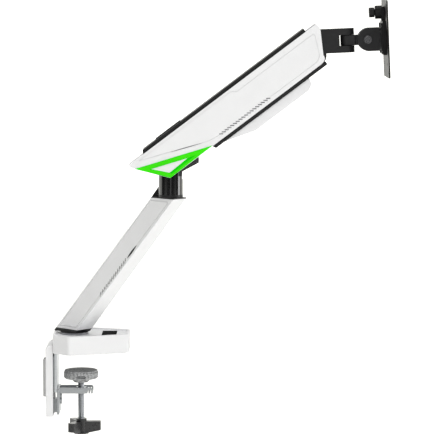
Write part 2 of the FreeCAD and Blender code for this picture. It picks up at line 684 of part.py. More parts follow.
def elbow_collar():
    """The black ring on top of the lower arm, with a wedge behind it that rises to the elbow."""
    floor = LOWER_TOP_Z + TOP_PLATE_THICK
    ring = rod(COLLAR_R, V(0, 0, floor), V(0, 0, COLLAR_TOP))
    wedge = side_plate(REAR_WEDGE, -REAR_WEDGE_HALF, REAR_WEDGE_HALF)
    collar = ring.fuse(wedge).cut(rod(ELBOW_POST_R, V(0, 0, floor - 1), V(0, 0, COLLAR_TOP + 1)))
    collar.translate(V(LOWER_RUN, 0, 0))
    return on_lower_arm(collar)


def elbow_post():
    """The steel post that the elbow turns on, stepped down into the lower arm."""
    floor = LOWER_TOP_Z + TOP_PLATE_THICK
    post = rod(ELBOW_POST_R, V(0, 0, floor), V(0, 0, ELBOW_BARREL_TOP))
    return on_elbow(post.fuse(rod(POST_STEP_R, V(0, 0, POST_FOOT_Z), V(0, 0, floor))))


def elbow_retainer():
    """The washer and screw head that keep the elbow on its post."""
    washer = rod(13.5, V(0, 0, ELBOW_BARREL_TOP), V(0, 0, ELBOW_BARREL_TOP + 2))
    head = rod(7.0, V(0, 0, ELBOW_BARREL_TOP + 2), V(0, 0, ELBOW_BARREL_TOP + 6))
    socket = hexagon(6, V(0, 0, ELBOW_BARREL_TOP + 3), Z_AXIS, 4)
    return on_elbow(washer.fuse(head).cut(socket))


# ---------------------------------------------------------------- elbow

def elbow_bracket():
    """The cast bracket: a barrel over the post and two cheeks that carry the pivots."""
    floor = COLLAR_TOP + 0.5
    pivot = MAIN_PIVOT
    barrel = rod(ELBOW_BARREL_R, V(0, 0, floor), V(0, 0, ELBOW_BARREL_TOP))
    cheeks = side_plate(ELBOW_CHEEK, -CHEEK_OUTER, CHEEK_OUTER)
    boss = cross_pin(PIVOT_BOSS_R, pivot.x, pivot.z, -CHEEK_OUTER, CHEEK_OUTER)
    top = pivot.z + CUT
    slot = box(-2 * CUT, 2 * CUT, -CHEEK_INNER, CHEEK_INNER, ELBOW_BARREL_TOP + 7, top)
    rod_space = box(14.5, 2 * CUT, -CHEEK_INNER, CHEEK_INNER, ELBOW_BARREL_TOP - 13, top)
    retainer_space = rod(14.5, V(0, 0, ELBOW_BARREL_TOP), V(0, 0, ELBOW_BARREL_TOP + 8))
    bore = rod(ELBOW_POST_R + RUNNING, V(0, 0, floor), V(0, 0, ELBOW_BARREL_TOP))
    holes = [cross_pin(MAIN_PIN_R + RUNNING, pivot.x, pivot.z, -CUT, CUT),
             cross_pin(LINK_PIN_R, LINK_PIVOT.x, LINK_PIVOT.z, -CUT, CUT),
             cross_pin(STRUT_FOOT_PIN_R, STRUT_PIVOT.x, STRUT_PIVOT.z, -CUT, CUT)]
    return on_elbow(barrel.fuse([cheeks, boss]).cut([slot, rod_space, retainer_space, bore] + holes))


def elbow_washer():
    """The thin plastic washer between the collar and the barrel."""
    ring = rod(ELBOW_BARREL_R, V(0, 0, COLLAR_TOP), V(0, 0, COLLAR_TOP + 0.5))
    return on_elbow(ring.cut(rod(ELBOW_POST_R + 0.2, V(0, 0, COLLAR_TOP), V(0, 0, COLLAR_TOP + 1))))


def link_pins(place, inner):
    """A pair of stub pins, one for each link bar."""
    stub = cross_pin(LINK_PIN_R, place.x, place.z, -LINK_OUTER - 0.5, -inner)
    return Part.makeCompound([stub, mirrored(stub)])


def strut_pin_elbow():
    return on_elbow(cross_pin(STRUT_FOOT_PIN_R, STRUT_PIVOT.x, STRUT_PIVOT.z, -CHEEK_OUTER, CHEEK_OUTER))


def link_bar(far):
    """One bar of the parallelogram, beside the strut."""
    bar = capsule(0, ARM_REACH, 0, LINK_HALF_HEIGHT, -LINK_OUTER, -LINK_INNER)
    bar = bar.cut([cross_pin(LINK_PIN_R + RUNNING, x, 0, -CUT, CUT) for x in (0, ARM_REACH)])
    bar = mirrored(bar) if far else bar
    bar.rotate(V(0, 0, 0), Y_AXIS, -ARM_ANGLE)
    bar.translate(ELBOW + LINK_PIVOT)
    return bar


# ---------------------------------------------------------------- spring arm

def arm_channel():
    """The steel channel inside the arm: two sides joined by a web along the top."""
    inner = CHANNEL_HALF - CHANNEL_WALL
    side = side_plate(CHANNEL_SIDE, -CHANNEL_HALF, -inner)
    web_start, web_end = CHANNEL_SIDE[0][0], CHANNEL_SIDE[-1][0]
    web = box(web_start, web_end, -inner, inner, CHANNEL_TOP - WEB_THICK, CHANNEL_TOP)
    stiffener = box(60, LOBE_CLEAR_A, -inner, inner, -36, -33.5)
    lug = box(STRUT_EYE_A - 9, STRUT_EYE_A + 9, -CHEEK_OUTER, -6, STRUT_AXIS - 8, CHANNEL_TOP - WEB_THICK)
    holes = [cross_pin(MAIN_PIN_R, a, 0, -CUT, CUT) for a in (0, ARM_REACH)]
    holes.append(cross_pin(STRUT_PIN_R, STRUT_EYE_A, STRUT_AXIS, -CUT, CUT))
    body = side.fuse([mirrored(side), web, stiffener, lug, mirrored(lug)])
    return on_spring_arm(body.cut(holes))


def side_cover(far):
    """A white side shell with a shallow pocket for its panel and its trim."""
    plate = side_plate(COVER_SIDE, -COVER_OUTER, -COVER_INNER)
    roof = box(-64, -24.5, -COVER_INNER, -COVER_PARTING, CHANNEL_TOP - 2.5, CHANNEL_TOP)
    end = side_plate(COVER_END, -COVER_INNER, -COVER_PARTING)
    pocket = side_plate(PANEL_SIDE, -COVER_OUTER - 1, -COVER_OUTER + PANEL_DEPTH)
    trim = trim_solid(-COVER_OUTER - 1, -COVER_OUTER + TRIM_SUNK)
    cover = plate.fuse([roof, end]).cut([pocket, trim])
    return on_spring_arm(mirrored(cover) if far else cover)


def side_panel(far):
    """The inlay of a side cover, with a narrow seam all round."""
    wire = outline([V(a, -COVER_OUTER, b) for a, b in PANEL_SIDE], 0)
    face = Part.Face(wire).makeOffset2D(-PANEL_SEAM, 2)
    panel = face.extrude(V(0, PANEL_DEPTH, 0))
    return on_spring_arm(mirrored(panel) if far else panel)


def trim_solid(y0, y1):
    return side_plate(TRIM_OUTER, y0, y1).cut(side_plate(TRIM_INNER, y0 - 1, y1 + 1))


def green_trim(far):
    trim = trim_solid(-COVER_OUTER - TRIM_PROUD, -COVER_OUTER + TRIM_SUNK)
    return on_spring_arm(mirrored(trim) if far else trim)


def top_rail():
    """The black strip along the top, with a window for the tension screw's lid."""
    rail = side_plate(TOP_RAIL_SIDE, -RAIL_HALF, RAIL_HALF)
    gap = 0.2
    window = box(LID_START - gap, LID_END + gap, -LID_HALF - gap, LID_HALF + gap, CHANNEL_TOP + 2,
                 CHANNEL_TOP + RAIL_THICK + 1)
    bore = rod(TENSION_HEAD_R + 0.1, V(TENSION_A, 0, CHANNEL_TOP - 1), V(TENSION_A, 0, CHANNEL_TOP + 3))
    return on_spring_arm(rail.cut([window, bore]))


def tension_cover():
    """The raised lid over the tension screw, with a round key hole."""
    lid = box(LID_START, LID_END, -LID_HALF, LID_HALF, CHANNEL_TOP + 2, CHANNEL_TOP + RAIL_THICK + 1.5)
    return on_spring_arm(lid.cut(rod(TENSION_HEAD_R + 0.5, V(TENSION_A, 0, 0), V(TENSION_A, 0, CUT))))


def tension_screw():
    """The socket screw that presets the strut."""
    head = rod(TENSION_HEAD_R, V(TENSION_A, 0, CHANNEL_TOP), V(TENSION_A, 0, CHANNEL_TOP + 5))
    socket = hexagon(3, V(TENSION_A, 0, CHANNEL_TOP + 2), Z_AXIS, 4)
    return on_spring_arm(head.cut(socket))


def bottom_rail():
    """The black strip under the arm, forked at the head end around the link boss."""
    rail = side_plate(BOTTOM_RAIL_SIDE, -RAIL_HALF, RAIL_HALF)
    fork = box(LOBE_CLEAR_A, ARM_REACH, -CHEEK_OUTER - 0.6, CHEEK_OUTER + 0.6, -50, -30)
    return on_spring_arm(rail.cut(fork))


def arm_cable_cover():
    """The pale cable trough clipped under the spring arm."""
    inner = TROUGH_HALF - TROUGH_WALL
    shell = side_plate(TROUGH_SIDE, -TROUGH_HALF, TROUGH_HALF)
    return on_spring_arm(shell.cut(side_plate(TROUGH_SPACE, -inner, inner)))


def main_pins():
    pins = [cross_pin(MAIN_PIN_R, a, 0, -CHANNEL_HALF, CHANNEL_HALF) for a in (0, ARM_REACH)]
    return on_spring_arm(Part.makeCompound(pins))


def strut_cylinder():
    """The gas strut's body, pinned to the channel near the head."""
    start, end, wall = STRUT_BODY_START, STRUT_BODY_END, STRUT_END_WALL
    front = rod(STRUT_BODY_R, V(start, 0, STRUT_AXIS), V(end, 0, STRUT_AXIS))
    chamber = rod(STRUT_BORE_R, V(start + wall, 0, STRUT_AXIS), V(end - wall, 0, STRUT_AXIS))
    guide = rod(STRUT_ROD_R + RUNNING, V(start - 1, 0, STRUT_AXIS), V(start + wall + 1, 0, STRUT_AXIS))
    eye = cross_pin(2 * STRUT_PIN_R, STRUT_EYE_A, STRUT_AXIS, -STRUT_EYE_HALF, STRUT_EYE_HALF)
    neck = box(end - 1, STRUT_EYE_A, -STRUT_EYE_HALF, STRUT_EYE_HALF, STRUT_AXIS - 6, STRUT_AXIS + 6)
    hole = cross_pin(STRUT_PIN_R, STRUT_EYE_A, STRUT_AXIS, -CUT, CUT)
    return on_spring_arm(front.fuse([eye, neck]).cut([chamber, guide, hole]))


def strut_pin_arm():
    return on_spring_arm(cross_pin(STRUT_PIN_R, STRUT_EYE_A, STRUT_AXIS, -CHEEK_OUTER, CHEEK_OUTER))


def strut_rod():
    """The strut's rod with its piston, and the slotted eye over the elbow's strut pin."""
    eye_a = turn(STRUT_PIVOT - MAIN_PIVOT, -ARM_ANGLE).x
    half, reach, width = STRUT_SLOT_HALF, STRUT_SLOT_REACH, STRUT_EYE_HALF
    tall = half + STRUT_SLOT_WALL
    eye = box(eye_a - 7, eye_a + 7, -width, width, STRUT_AXIS - tall, STRUT_AXIS + tall)
    slot = box(eye_a - reach, eye_a + reach, -width - 1, width + 1, STRUT_AXIS - half, STRUT_AXIS + half)
    shaft = rod(STRUT_ROD_R, V(eye_a + 6, 0, STRUT_AXIS), V(PISTON_END, 0, STRUT_AXIS))
    piston = rod(STRUT_BORE_R - RUNNING, V(PISTON_START, 0, STRUT_AXIS), V(PISTON_END, 0, STRUT_AXIS))
    return on_spring_arm(eye.cut(slot).fuse([shaft, piston]))


# ---------------------------------------------------------------- head

def head_bracket():
    """The casting at the arm's end: two bosses for the pivots and the clevis of the pan joint."""
    rear_top = from_head(V(CLEVIS_REAR, 0, CLEVIS_HALF_HEIGHT))
    rear_low = from_head(V(CLEVIS_REAR, 0, -CLEVIS_HALF_HEIGHT))
    main_boss = cross_pin(PIVOT_BOSS_R, 0, 0, -CHEEK_OUTER, CHEEK_OUTER)
    link_boss = cross_pin(HEAD_LINK_BOSS_R, LINK_OFFSET.x, LINK_OFFSET.z, -CHEEK_OUTER, CHEEK_OUTER)
    web = side_plate([(0.1 - PIVOT_BOSS_R, 0), (0, PIVOT_BOSS_R), (rear_top.x + 2, rear_top.z),
                      (rear_low.x + 2, rear_low.z),
                      (LINK_OFFSET.x + HEAD_LINK_BOSS_R - 0.5, LINK_OFFSET.z - 3),
                      (LINK_OFFSET.x - HEAD_LINK_BOSS_R + 0.8, LINK_OFFSET.z - 3)], -CHEEK_OUTER, CHEEK_OUTER)
    block = box(CLEVIS_REAR, 0, -CLEVIS_R, CLEVIS_R, -CLEVIS_HALF_HEIGHT, CLEVIS_HALF_HEIGHT)
    ears = rod(CLEVIS_R, V(0, 0, -CLEVIS_HALF_HEIGHT), V(0, 0, CLEVIS_HALF_HEIGHT))
    slot = box(-TONGUE_R - 0.4, CLEVIS_R + 1, -CLEVIS_R - 1, CLEVIS_R + 1,
               -CLEVIS_SLOT_HALF, CLEVIS_SLOT_HALF)
    bore = rod(PAN_PIN_R, V(0, 0, -CUT), V(0, 0, CUT))
    clevis = on_head(block.fuse(ears).cut([slot, bore]))
    cheeks = on_head_pivot(main_boss.fuse([link_boss, web]))
    main_hole = cross_pin(MAIN_PIN_R + RUNNING, 0, 0, -CUT, CUT)
    link_hole = cross_pin(LINK_PIN_R, LINK_OFFSET.x, LINK_OFFSET.z, -CUT, CUT)
    return cheeks.fuse(clevis).cut([on_head_pivot(main_hole), on_head_pivot(link_hole)])


def pan_pin():
    """The vertical pin of the pan joint, with a flush screw head at each end."""
    return on_head(rod(PAN_PIN_R, V(0, 0, -CLEVIS_HALF_HEIGHT), V(0, 0, CLEVIS_HALF_HEIGHT)))


def pan_washers():
    """Two thin rings, above and below the tongue."""
    inner = TONGUE_HALF_HEIGHT + RUNNING
    ring = rod(TONGUE_R, V(0, 0, inner), V(0, 0, CLEVIS_SLOT_HALF))
    ring = ring.cut(rod(PAN_PIN_R, V(0, 0, inner), V(0, 0, CLEVIS_SLOT_HALF)))
    return on_head(Part.makeCompound([ring, ring.mirror(V(0, 0, 0), Z_AXIS)]))


def pan_tongue():
    """The tongue between the clevis ears, narrowed to a lug for the tilt bolt."""
    h = TONGUE_HALF_HEIGHT
    boss = rod(TONGUE_R, V(0, 0, -h), V(0, 0, h))
    neck = box(0, NECK_END, -TONGUE_R, TONGUE_R, -h, h)
    lug = box(NECK_END - 4, TILT_H, -LUG_HALF, LUG_HALF, -h, h)
    lug_end = cross_pin(LUG_END_R, TILT_H, 0, -LUG_HALF, LUG_HALF)
    bores = [rod(PAN_PIN_R + RUNNING, V(0, 0, -CUT), V(0, 0, CUT)),
             cross_pin(TILT_BOLT_R + RUNNING, TILT_H, 0, -CUT, CUT)]
    return on_head(boss.fuse([neck, lug, lug_end]).cut(bores))


def tilt_head():
    """The tilt fork: a bullet-shaped block with a slot for the tongue's lug."""
    nose = V(TILT_H - TILT_R + TILT_NOSE, 0, 0)
    start, end = TILT_H + TILT_FLAT_START, TILT_FACE_H - TILT_DISC_THICK
    edges = [
        Part.Arc(V(start, 0, -TILT_R), nose, V(start, 0, TILT_R)),
        Part.LineSegment(V(start, 0, TILT_R), V(end, 0, TILT_R)),
        Part.LineSegment(V(end, 0, TILT_R), V(end, 0, -TILT_R)),
        Part.LineSegment(V(end, 0, -TILT_R), V(start, 0, -TILT_R)),
    ]
    body = Part.Face(Part.Wire([edge.toShape() for edge in edges])).extrude(V(0, 2 * TILT_CHEEK, 0))
    body.translate(V(0, -TILT_CHEEK, 0))
    disc = rod(TILT_R - 0.2, V(end, 0, 0), V(TILT_FACE_H, 0, 0))
    slot = box(0, TILT_H + TILT_SLOT_END, -TILT_SLOT_HALF, TILT_SLOT_HALF, -CUT, CUT)
    bore = rod(ADAPTER_SPIGOT_R + RUNNING, V(TILT_H + TILT_SLOT_END - 0.3, 0, 0), V(TILT_FACE_H + 1, 0, 0))
    bolt_hole = cross_pin(TILT_BOLT_R, TILT_H, 0, -CUT, CUT)
    return on_head(body.fuse(disc).cut([slot, bore, bolt_hole]))


def tilt_bolt():
    """The socket screw through the fork and the lug, with its nut."""
    shank = cross_pin(TILT_BOLT_R, TILT_H, 0, -TILT_CHEEK, TILT_CHEEK)
    head = cross_pin(BOLT_HEAD_R, TILT_H, 0, -TILT_CHEEK - BOLT_HEAD_THICK, -TILT_CHEEK)
    socket = hexagon(5, V(TILT_H, -TILT_CHEEK - 1, 0), V(0, -1, 0), 3)
    nut = hexagon(10, V(TILT_H, TILT_CHEEK, 0), Y_AXIS, 4)
    return on_head(shank.fuse([head, nut]).cut(socket))


def rotation_washer():
    """The plastic ring between the fork's disc and the turning plate."""
    ring = rod(TILT_R - 0.5, V(TILT_FACE_H, 0, 0), V(ADAPTER_H, 0, 0))
    return on_head(ring.cut(rod(ADAPTER_SPIGOT_R, V(TILT_FACE_H, 0, 0), V(ADAPTER_H, 0, 0))))


def adapter_plate():
    """The turning plate that the screen plate hangs on, with a tab for the thumbscrew."""
    back, face = ADAPTER_H, ADAPTER_H + ADAPTER_THICK
    plate = box(back, face, -ADAPTER_HALF, ADAPTER_HALF, -ADAPTER_HALF, ADAPTER_HALF)
    tab = box(back, face, -TAB_HALF, TAB_HALF, 0, SCREW_HEIGHT + 8)
    boss = rod(TAB_BOSS_R, V(back - TAB_BOSS_LENGTH, 0, SCREW_HEIGHT), V(back + 1, 0, SCREW_HEIGHT))
    spigot = rod(ADAPTER_SPIGOT_R, V(TILT_H + 11, 0, 0), V(back, 0, 0))
    bore = rod(THUMB_SHAFT_R + RUNNING, V(back - CUT, 0, SCREW_HEIGHT), V(face + 1, 0, SCREW_HEIGHT))
    return on_head(plate.fuse([tab, boss, spigot]).cut(bore))


def thumbscrew():
    """The screw that locks the screen plate on the turning plate."""
    back = ADAPTER_H - TAB_BOSS_LENGTH
    head = rod(THUMB_R, V(back - 9, 0, SCREW_HEIGHT), V(back - 1, 0, SCREW_HEIGHT))
    collar = rod(5.0, V(back - 1, 0, SCREW_HEIGHT), V(back, 0, SCREW_HEIGHT))
    shaft = rod(THUMB_SHAFT_R, V(back - 1, 0, SCREW_HEIGHT), V(VESA_H - 0.4, 0, SCREW_HEIGHT))
    return on_head(head.fuse([collar, shaft]))


def vesa_plate():
    """The screen plate, with two rails that slide down over the adapter plate."""
    half = VESA_SIDE / 2
    plate = box(VESA_H, VESA_H + VESA_THICK, -half, half, -half, half)
    plate = plate.makeFillet(VESA_CORNER, [e for e in plate.Edges if abs(e.Length - VESA_THICK) < 0.01])
    inner, outer, grip = ADAPTER_HALF + 0.3, ADAPTER_HALF + 0.3 + RAIL_SHEET, ADAPTER_HALF - LIP_REACH
    lip_low, lip_high = ADAPTER_H - 0.2 - LIP_THICK, ADAPTER_H - 0.2
    rails = []
    for side in (-1, 1):
        wall = sorted((side * inner, side * outer))
        lip = sorted((side * grip, side * outer))
        stop = sorted((side * STOP_START, side * outer))
        rails.append(box(lip_low, VESA_H, wall[0], wall[1], RAIL_FOOT, ADAPTER_HALF))
        rails.append(box(lip_low, lip_high, lip[0], lip[1], RAIL_FOOT, ADAPTER_HALF))
        rails.append(box(ADAPTER_H + 0.2, VESA_H, stop[0], stop[1], ADAPTER_HALF + 0.02, ADAPTER_HALF + 3))
    holes = []
    for pitch in VESA_PITCHES:
        for y in (-pitch / 2, pitch / 2):
            for z in (-pitch / 2, pitch / 2):
                holes.append(rod(VESA_HOLE_R, V(VESA_H - 1, y, z), V(VESA_H + VESA_THICK + 1, y, z)))
    return on_head(plate.fuse(rails).cut(holes))


# ---------------------------------------------------------------- all pieces

def make_parts():
    """Every piece of the arm by its node name."""
    return {
        "base_cover": base_cover(),
        "base_insert": base_insert(),
        "desk_pad": desk_pad(),
        "clamp_bracket": clamp_bracket(),
        "swivel_housing": swivel_housing(),
        "base_screws": base_screws(),
        "swivel_bush": swivel_bush(),
        "back_cover": back_cover(),
        "clamp_spacers": clamp_spacers(),
        "cable_hook": cable_hook(),
        "jaw_bracket": jaw_bracket(),
        "jaw_bolts": jaw_bolts(),
        "jaw_nut": jaw_nut(),
        "pad_cup": pad_cup(),
        "pad_rubber": pad_rubber(),
        "clamp_spindle": clamp_spindle(),
        "clamp_knob": clamp_knob(),
        "swivel_spindle": on_lower_arm(swivel_spindle()),
        "swivel_nut": on_lower_arm(swivel_nut()),
        "lower_arm_core": lower_arm_core(),
        "lower_arm_cover": lower_arm_cover(),
        "lower_panel_near": lower_panel(False),
        "lower_panel_far": lower_panel(True),
        "lower_cable_cover": lower_cable_cover(),
        "elbow_collar": elbow_collar(),
        "elbow_post": elbow_post(),
        "elbow_retainer": elbow_retainer(),
        "elbow_bracket": elbow_bracket(),
        "elbow_washer": elbow_washer(),
        "link_pins_elbow": on_elbow(link_pins(LINK_PIVOT, CHEEK_INNER + 1)),
        "strut_pin_elbow": strut_pin_elbow(),
        "link_bar_near": link_bar(False),
        "link_bar_far": link_bar(True),
        "arm_channel": arm_channel(),
        "side_cover_near": side_cover(False),
        "side_cover_far": side_cover(True),
        "side_panel_near": side_panel(False),
        "side_panel_far": side_panel(True),
        "green_trim_near": green_trim(False),
        "green_trim_far": green_trim(True),
        "top_rail": top_rail(),
        "tension_cover": tension_cover(),
        "tension_screw": tension_screw(),
        "bottom_rail": bottom_rail(),
        "arm_cable_cover": arm_cable_cover(),
        "main_pins": main_pins(),
        "strut_cylinder": strut_cylinder(),
        "strut_pin_arm": strut_pin_arm(),
        "strut_rod": strut_rod(),
        "head_bracket": head_bracket(),
        "link_pins_head": on_head_pivot(link_pins(LINK_OFFSET, CHEEK_INNER)),
        "pan_pin": pan_pin(),
        "pan_washers": pan_washers(),
        "pan_tongue": pan_tongue(),
        "tilt_head": tilt_head(),
        "tilt_bolt": tilt_bolt(),
        "rotation_washer": rotation_washer(),
        "adapter_plate": adapter_plate(),
        "thumbscrew": thumbscrew(),
        "vesa_plate": vesa_plate(),
    }


def main():
    os.makedirs("parts", exist_ok=True)
    for name, shape in make_parts().items():
        shape.exportStep("parts/%s.step" % name)


main()
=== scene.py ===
"""Looks of the monitor arm: refined pieces, finishes, soft studio light and the camera.

Pieces drawn here are in millimetres and are placed by frames built from the joints. The studio, its lights
and the camera are in metres.
"""
import bpy
import bmesh
import json
import math
from mathutils import Matrix, Vector

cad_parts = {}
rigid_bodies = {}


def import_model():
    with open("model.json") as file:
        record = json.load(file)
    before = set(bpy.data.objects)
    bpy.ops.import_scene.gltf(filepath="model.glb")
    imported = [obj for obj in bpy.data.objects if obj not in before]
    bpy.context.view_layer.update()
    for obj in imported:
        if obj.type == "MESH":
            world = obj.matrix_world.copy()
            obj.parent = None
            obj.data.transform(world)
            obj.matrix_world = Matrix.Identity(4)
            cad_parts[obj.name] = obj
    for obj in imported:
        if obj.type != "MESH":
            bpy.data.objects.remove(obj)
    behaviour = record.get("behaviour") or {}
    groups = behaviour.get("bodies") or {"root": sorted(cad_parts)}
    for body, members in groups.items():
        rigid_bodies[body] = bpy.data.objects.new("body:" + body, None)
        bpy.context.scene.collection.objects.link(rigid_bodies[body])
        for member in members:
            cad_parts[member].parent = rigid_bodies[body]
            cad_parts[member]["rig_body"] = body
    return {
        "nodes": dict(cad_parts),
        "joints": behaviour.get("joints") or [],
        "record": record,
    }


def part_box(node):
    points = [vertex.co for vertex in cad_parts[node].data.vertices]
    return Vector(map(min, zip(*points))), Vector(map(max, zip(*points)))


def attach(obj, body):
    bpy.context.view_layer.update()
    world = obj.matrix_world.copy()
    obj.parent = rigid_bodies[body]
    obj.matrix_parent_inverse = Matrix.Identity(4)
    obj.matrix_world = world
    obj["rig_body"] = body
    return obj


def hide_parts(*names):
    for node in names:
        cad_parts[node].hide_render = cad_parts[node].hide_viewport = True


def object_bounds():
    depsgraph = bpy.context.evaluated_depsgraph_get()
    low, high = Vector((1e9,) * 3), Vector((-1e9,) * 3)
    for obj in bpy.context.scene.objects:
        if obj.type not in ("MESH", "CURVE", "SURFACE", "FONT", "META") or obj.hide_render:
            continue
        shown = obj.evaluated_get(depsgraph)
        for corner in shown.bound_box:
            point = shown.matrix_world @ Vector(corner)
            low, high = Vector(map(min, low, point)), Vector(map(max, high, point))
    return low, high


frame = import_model()
cad_low, cad_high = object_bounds()

MM = 0.001
joints = {joint["name"]: joint for joint in frame["joints"]}


# ------------------------------------------------------------------ frames

def place_of(name):
    """Where a joint sits, in metres."""
    return Vector(joints[name]["pos_m"])


arm_line = place_of("head_level") - place_of("arm_lift")
ARM_PITCH = math.atan2(arm_line.z, arm_line.x)
head_line = Vector(joints["plate_rotate"]["axis"])
HEAD_LEAN = math.atan2(head_line.z, head_line.x)
LOWER_YAW = math.atan2(place_of("elbow_swivel").y, place_of("elbow_swivel").x)

SCALE = Matrix.Scale(MM, 4)
WORLD = SCALE
ARM = Matrix.Translation(place_of("arm_lift")) @ Matrix.Rotation(-ARM_PITCH, 4, "Y") @ SCALE
HEAD = Matrix.Translation(place_of("head_pan")) @ Matrix.Rotation(-HEAD_LEAN, 4, "Y") @ SCALE
LOWER = Matrix.Rotation(LOWER_YAW, 4, "Z") @ SCALE
LOWER_TOP_FRAME = Matrix.Translation(place_of("elbow_swivel")) @ LOWER
BODY_OF = {node: obj["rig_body"] for node, obj in frame["nodes"].items()}
SLOT_OF = {part["node"]: part["material_slot"] for part in frame["record"]["subparts"]}


# ------------------------------------------------------------------ finishes

FINISHES = {}


class Finish:
    """A procedural material under construction."""

    def __init__(self, name):
        material = bpy.data.materials.new(name)
        material.use_nodes = True
        self.tree = material.node_tree
        self.shader = self.tree.nodes["Principled BSDF"]
        self.coords = self.tree.nodes.new("ShaderNodeTexCoord").outputs["Object"]
        FINISHES[name] = material

    def stretched(self, x, y, z):
        """The object's coordinates, scaled along each axis."""
        node = self.tree.nodes.new("ShaderNodeMapping")
        node.inputs["Scale"].default_value = (x, y, z)
        self.tree.links.new(self.coords, node.inputs["Vector"])
        return node.outputs["Vector"]

    def noise(self, scale, detail, rough=0.55, vector=None):
        node = self.tree.nodes.new("ShaderNodeTexNoise")
        node.inputs["Scale"].default_value = scale
        node.inputs["Detail"].default_value = detail
        node.inputs["Roughness"].default_value = rough
        self.tree.links.new(vector or self.coords, node.inputs["Vector"])
        return node.outputs["Fac"]

    def colour(self, factor, colour, start, darker, end, lighter):
        """The colour, from a darker shade where the factor is low to a lighter one where it is high."""
        node = self.tree.nodes.new("ShaderNodeValToRGB")
        stops = ((start, darker), (end, lighter))
        for element, (place, by) in zip(node.color_ramp.elements, stops):
            element.position = place
            element.color = (*(min(1.0, channel * by) for channel in colour), 1.0)
        self.tree.links.new(factor, node.inputs["Fac"])
        self.drive("Base Color", node.outputs["Color"])

    def roughness(self, factor, low, high):
        node = self.tree.nodes.new("ShaderNodeMapRange")
        node.inputs["To Min"].default_value = low
        node.inputs["To Max"].default_value = high
        self.tree.links.new(factor, node.inputs["Value"])
        self.drive("Roughness", node.outputs["Result"])

    def bump(self, height, strength, distance):
        node = self.tree.nodes.new("ShaderNodeBump")
        node.inputs["Strength"].default_value = strength
        node.inputs["Distance"].default_value = distance
        self.tree.links.new(height, node.inputs["Height"])
        self.drive("Normal", node.outputs["Normal"])

    def drive(self, socket, output):
        self.tree.links.new(output, self.shader.inputs[socket])

    def set(self, socket, value):
        self.shader.inputs[socket].default_value = value


def moulded(name, colour, rough, spread, gloss=0.5):
    """Moulded plastic: faint flow mottling, a fine grain and uneven gloss."""
    finish = Finish(name)
    flow = finish.noise(scale=38.0, detail=5.0)
    grain = finish.noise(scale=2600.0, detail=3.0)
    sheen = finish.noise(scale=240.0, detail=3.0)
    finish.colour(flow, colour, start=0.3, darker=1 - spread, end=0.7, lighter=1 + spread)
    finish.roughness(sheen, low=rough - 0.05, high=rough + 0.05)
    finish.bump(grain, strength=0.25, distance=0.00002)
    finish.set("Specular IOR Level", gloss)


def mottled(name, colour, rough):
    """Cast grip surface with a coarse two-tone mottle."""
    finish = Finish(name)
    cells = finish.noise(scale=420.0, detail=6.0, rough=0.7)
    finish.colour(cells, colour, start=0.38, darker=0.45, end=0.62, lighter=1.5)
    finish.roughness(cells, low=rough - 0.1, high=rough + 0.1)
    finish.bump(cells, strength=0.7, distance=0.00015)


def cast(name, colour, rough, relief=0.00005, gloss=0.5):
    """Powder-coated casting: orange-peel relief and slightly uneven colour."""
    finish = Finish(name)
    patches = finish.noise(scale=90.0, detail=6.0)
    sheen = finish.noise(scale=700.0, detail=2.0)
    peel = finish.noise(scale=900.0, detail=2.0)
    finish.colour(patches, colour, start=0.3, darker=0.8, end=0.75, lighter=1.3)
    finish.roughness(sheen, low=rough - 0.07, high=rough + 0.07)
    finish.bump(peel, strength=0.5, distance=relief)
    finish.set("Specular IOR Level", gloss)


def metal(name, colour, rough, along=(1.0, 1.0, 30.0)):
    """Plated steel with drawn streaks."""
    finish = Finish(name)
    streaks = finish.noise(scale=60.0, detail=6.0, rough=0.7, vector=finish.stretched(*along))
    finish.colour(streaks, colour, start=0.3, darker=0.82, end=0.7, lighter=1.15)
    finish.roughness(streaks, low=rough - 0.08, high=rough + 0.1)
    finish.bump(streaks, strength=0.3, distance=0.00001)
    finish.set("Metallic", 1.0)


moulded("white_shell", (0.82, 0.82, 0.83), rough=0.5, spread=0.012, gloss=0.3)
moulded("cable_white", (0.82, 0.82, 0.835), rough=0.45, spread=0.012)
moulded("green_trim", (0.044, 0.76, 0.002), rough=0.45, spread=0.05, gloss=0.1)
# A darker copy of the trim's green: painted shade for the trim's slopes that look up.
moulded("green_painted_shade", (0.007, 0.66, 0.002), rough=0.5, spread=0.05, gloss=0.08)
moulded("black_plastic", (0.009, 0.009, 0.0095), rough=0.5, spread=0.12, gloss=0.3)
cast("black_cast", (0.009, 0.009, 0.010), rough=0.42, gloss=0.32)
cast("gloss_cast", (0.005, 0.005, 0.0055), rough=0.1, relief=0.000004, gloss=0.8)
cast("black_steel", (0.008, 0.008, 0.008), rough=0.42, relief=0.00003, gloss=0.2)
metal("zinc_steel", (0.40, 0.415, 0.43), rough=0.36)
metal("plate_zinc", (0.58, 0.60, 0.62), rough=0.36)
metal("thread_steel", (0.27, 0.28, 0.295), rough=0.28, along=(30.0, 30.0, 1.0))
metal("pin_steel", (0.30, 0.30, 0.32), rough=0.3)
moulded("grey_plastic", (0.50, 0.50, 0.50), rough=0.5, spread=0.04)
cast("rubber", (0.015, 0.015, 0.016), rough=0.8, relief=0.00008)
mottled("grip_grey", (0.35, 0.355, 0.36), rough=0.75)
moulded("bush_plastic", (0.012, 0.012, 0.013), rough=0.6, spread=0.1)
moulded("knob_plastic", (0.02, 0.02, 0.021), rough=0.28, spread=0.12)
moulded("insert_plastic", (0.009, 0.009, 0.009), rough=0.9, spread=0.12, gloss=0.02)
metal("bolt_steel", (0.15, 0.15, 0.155), rough=0.25, along=(1.0, 1.0, 1.0))


# ------------------------------------------------------------------ mesh building

# Points nearer than this become one: in a CAD solid in millimetres, in one left in metres, and in a solid
# drawn here in millimetres.
WELD = 1e-3
WELD_METRES = 1e-6
WELD_DRAWN = 1e-5
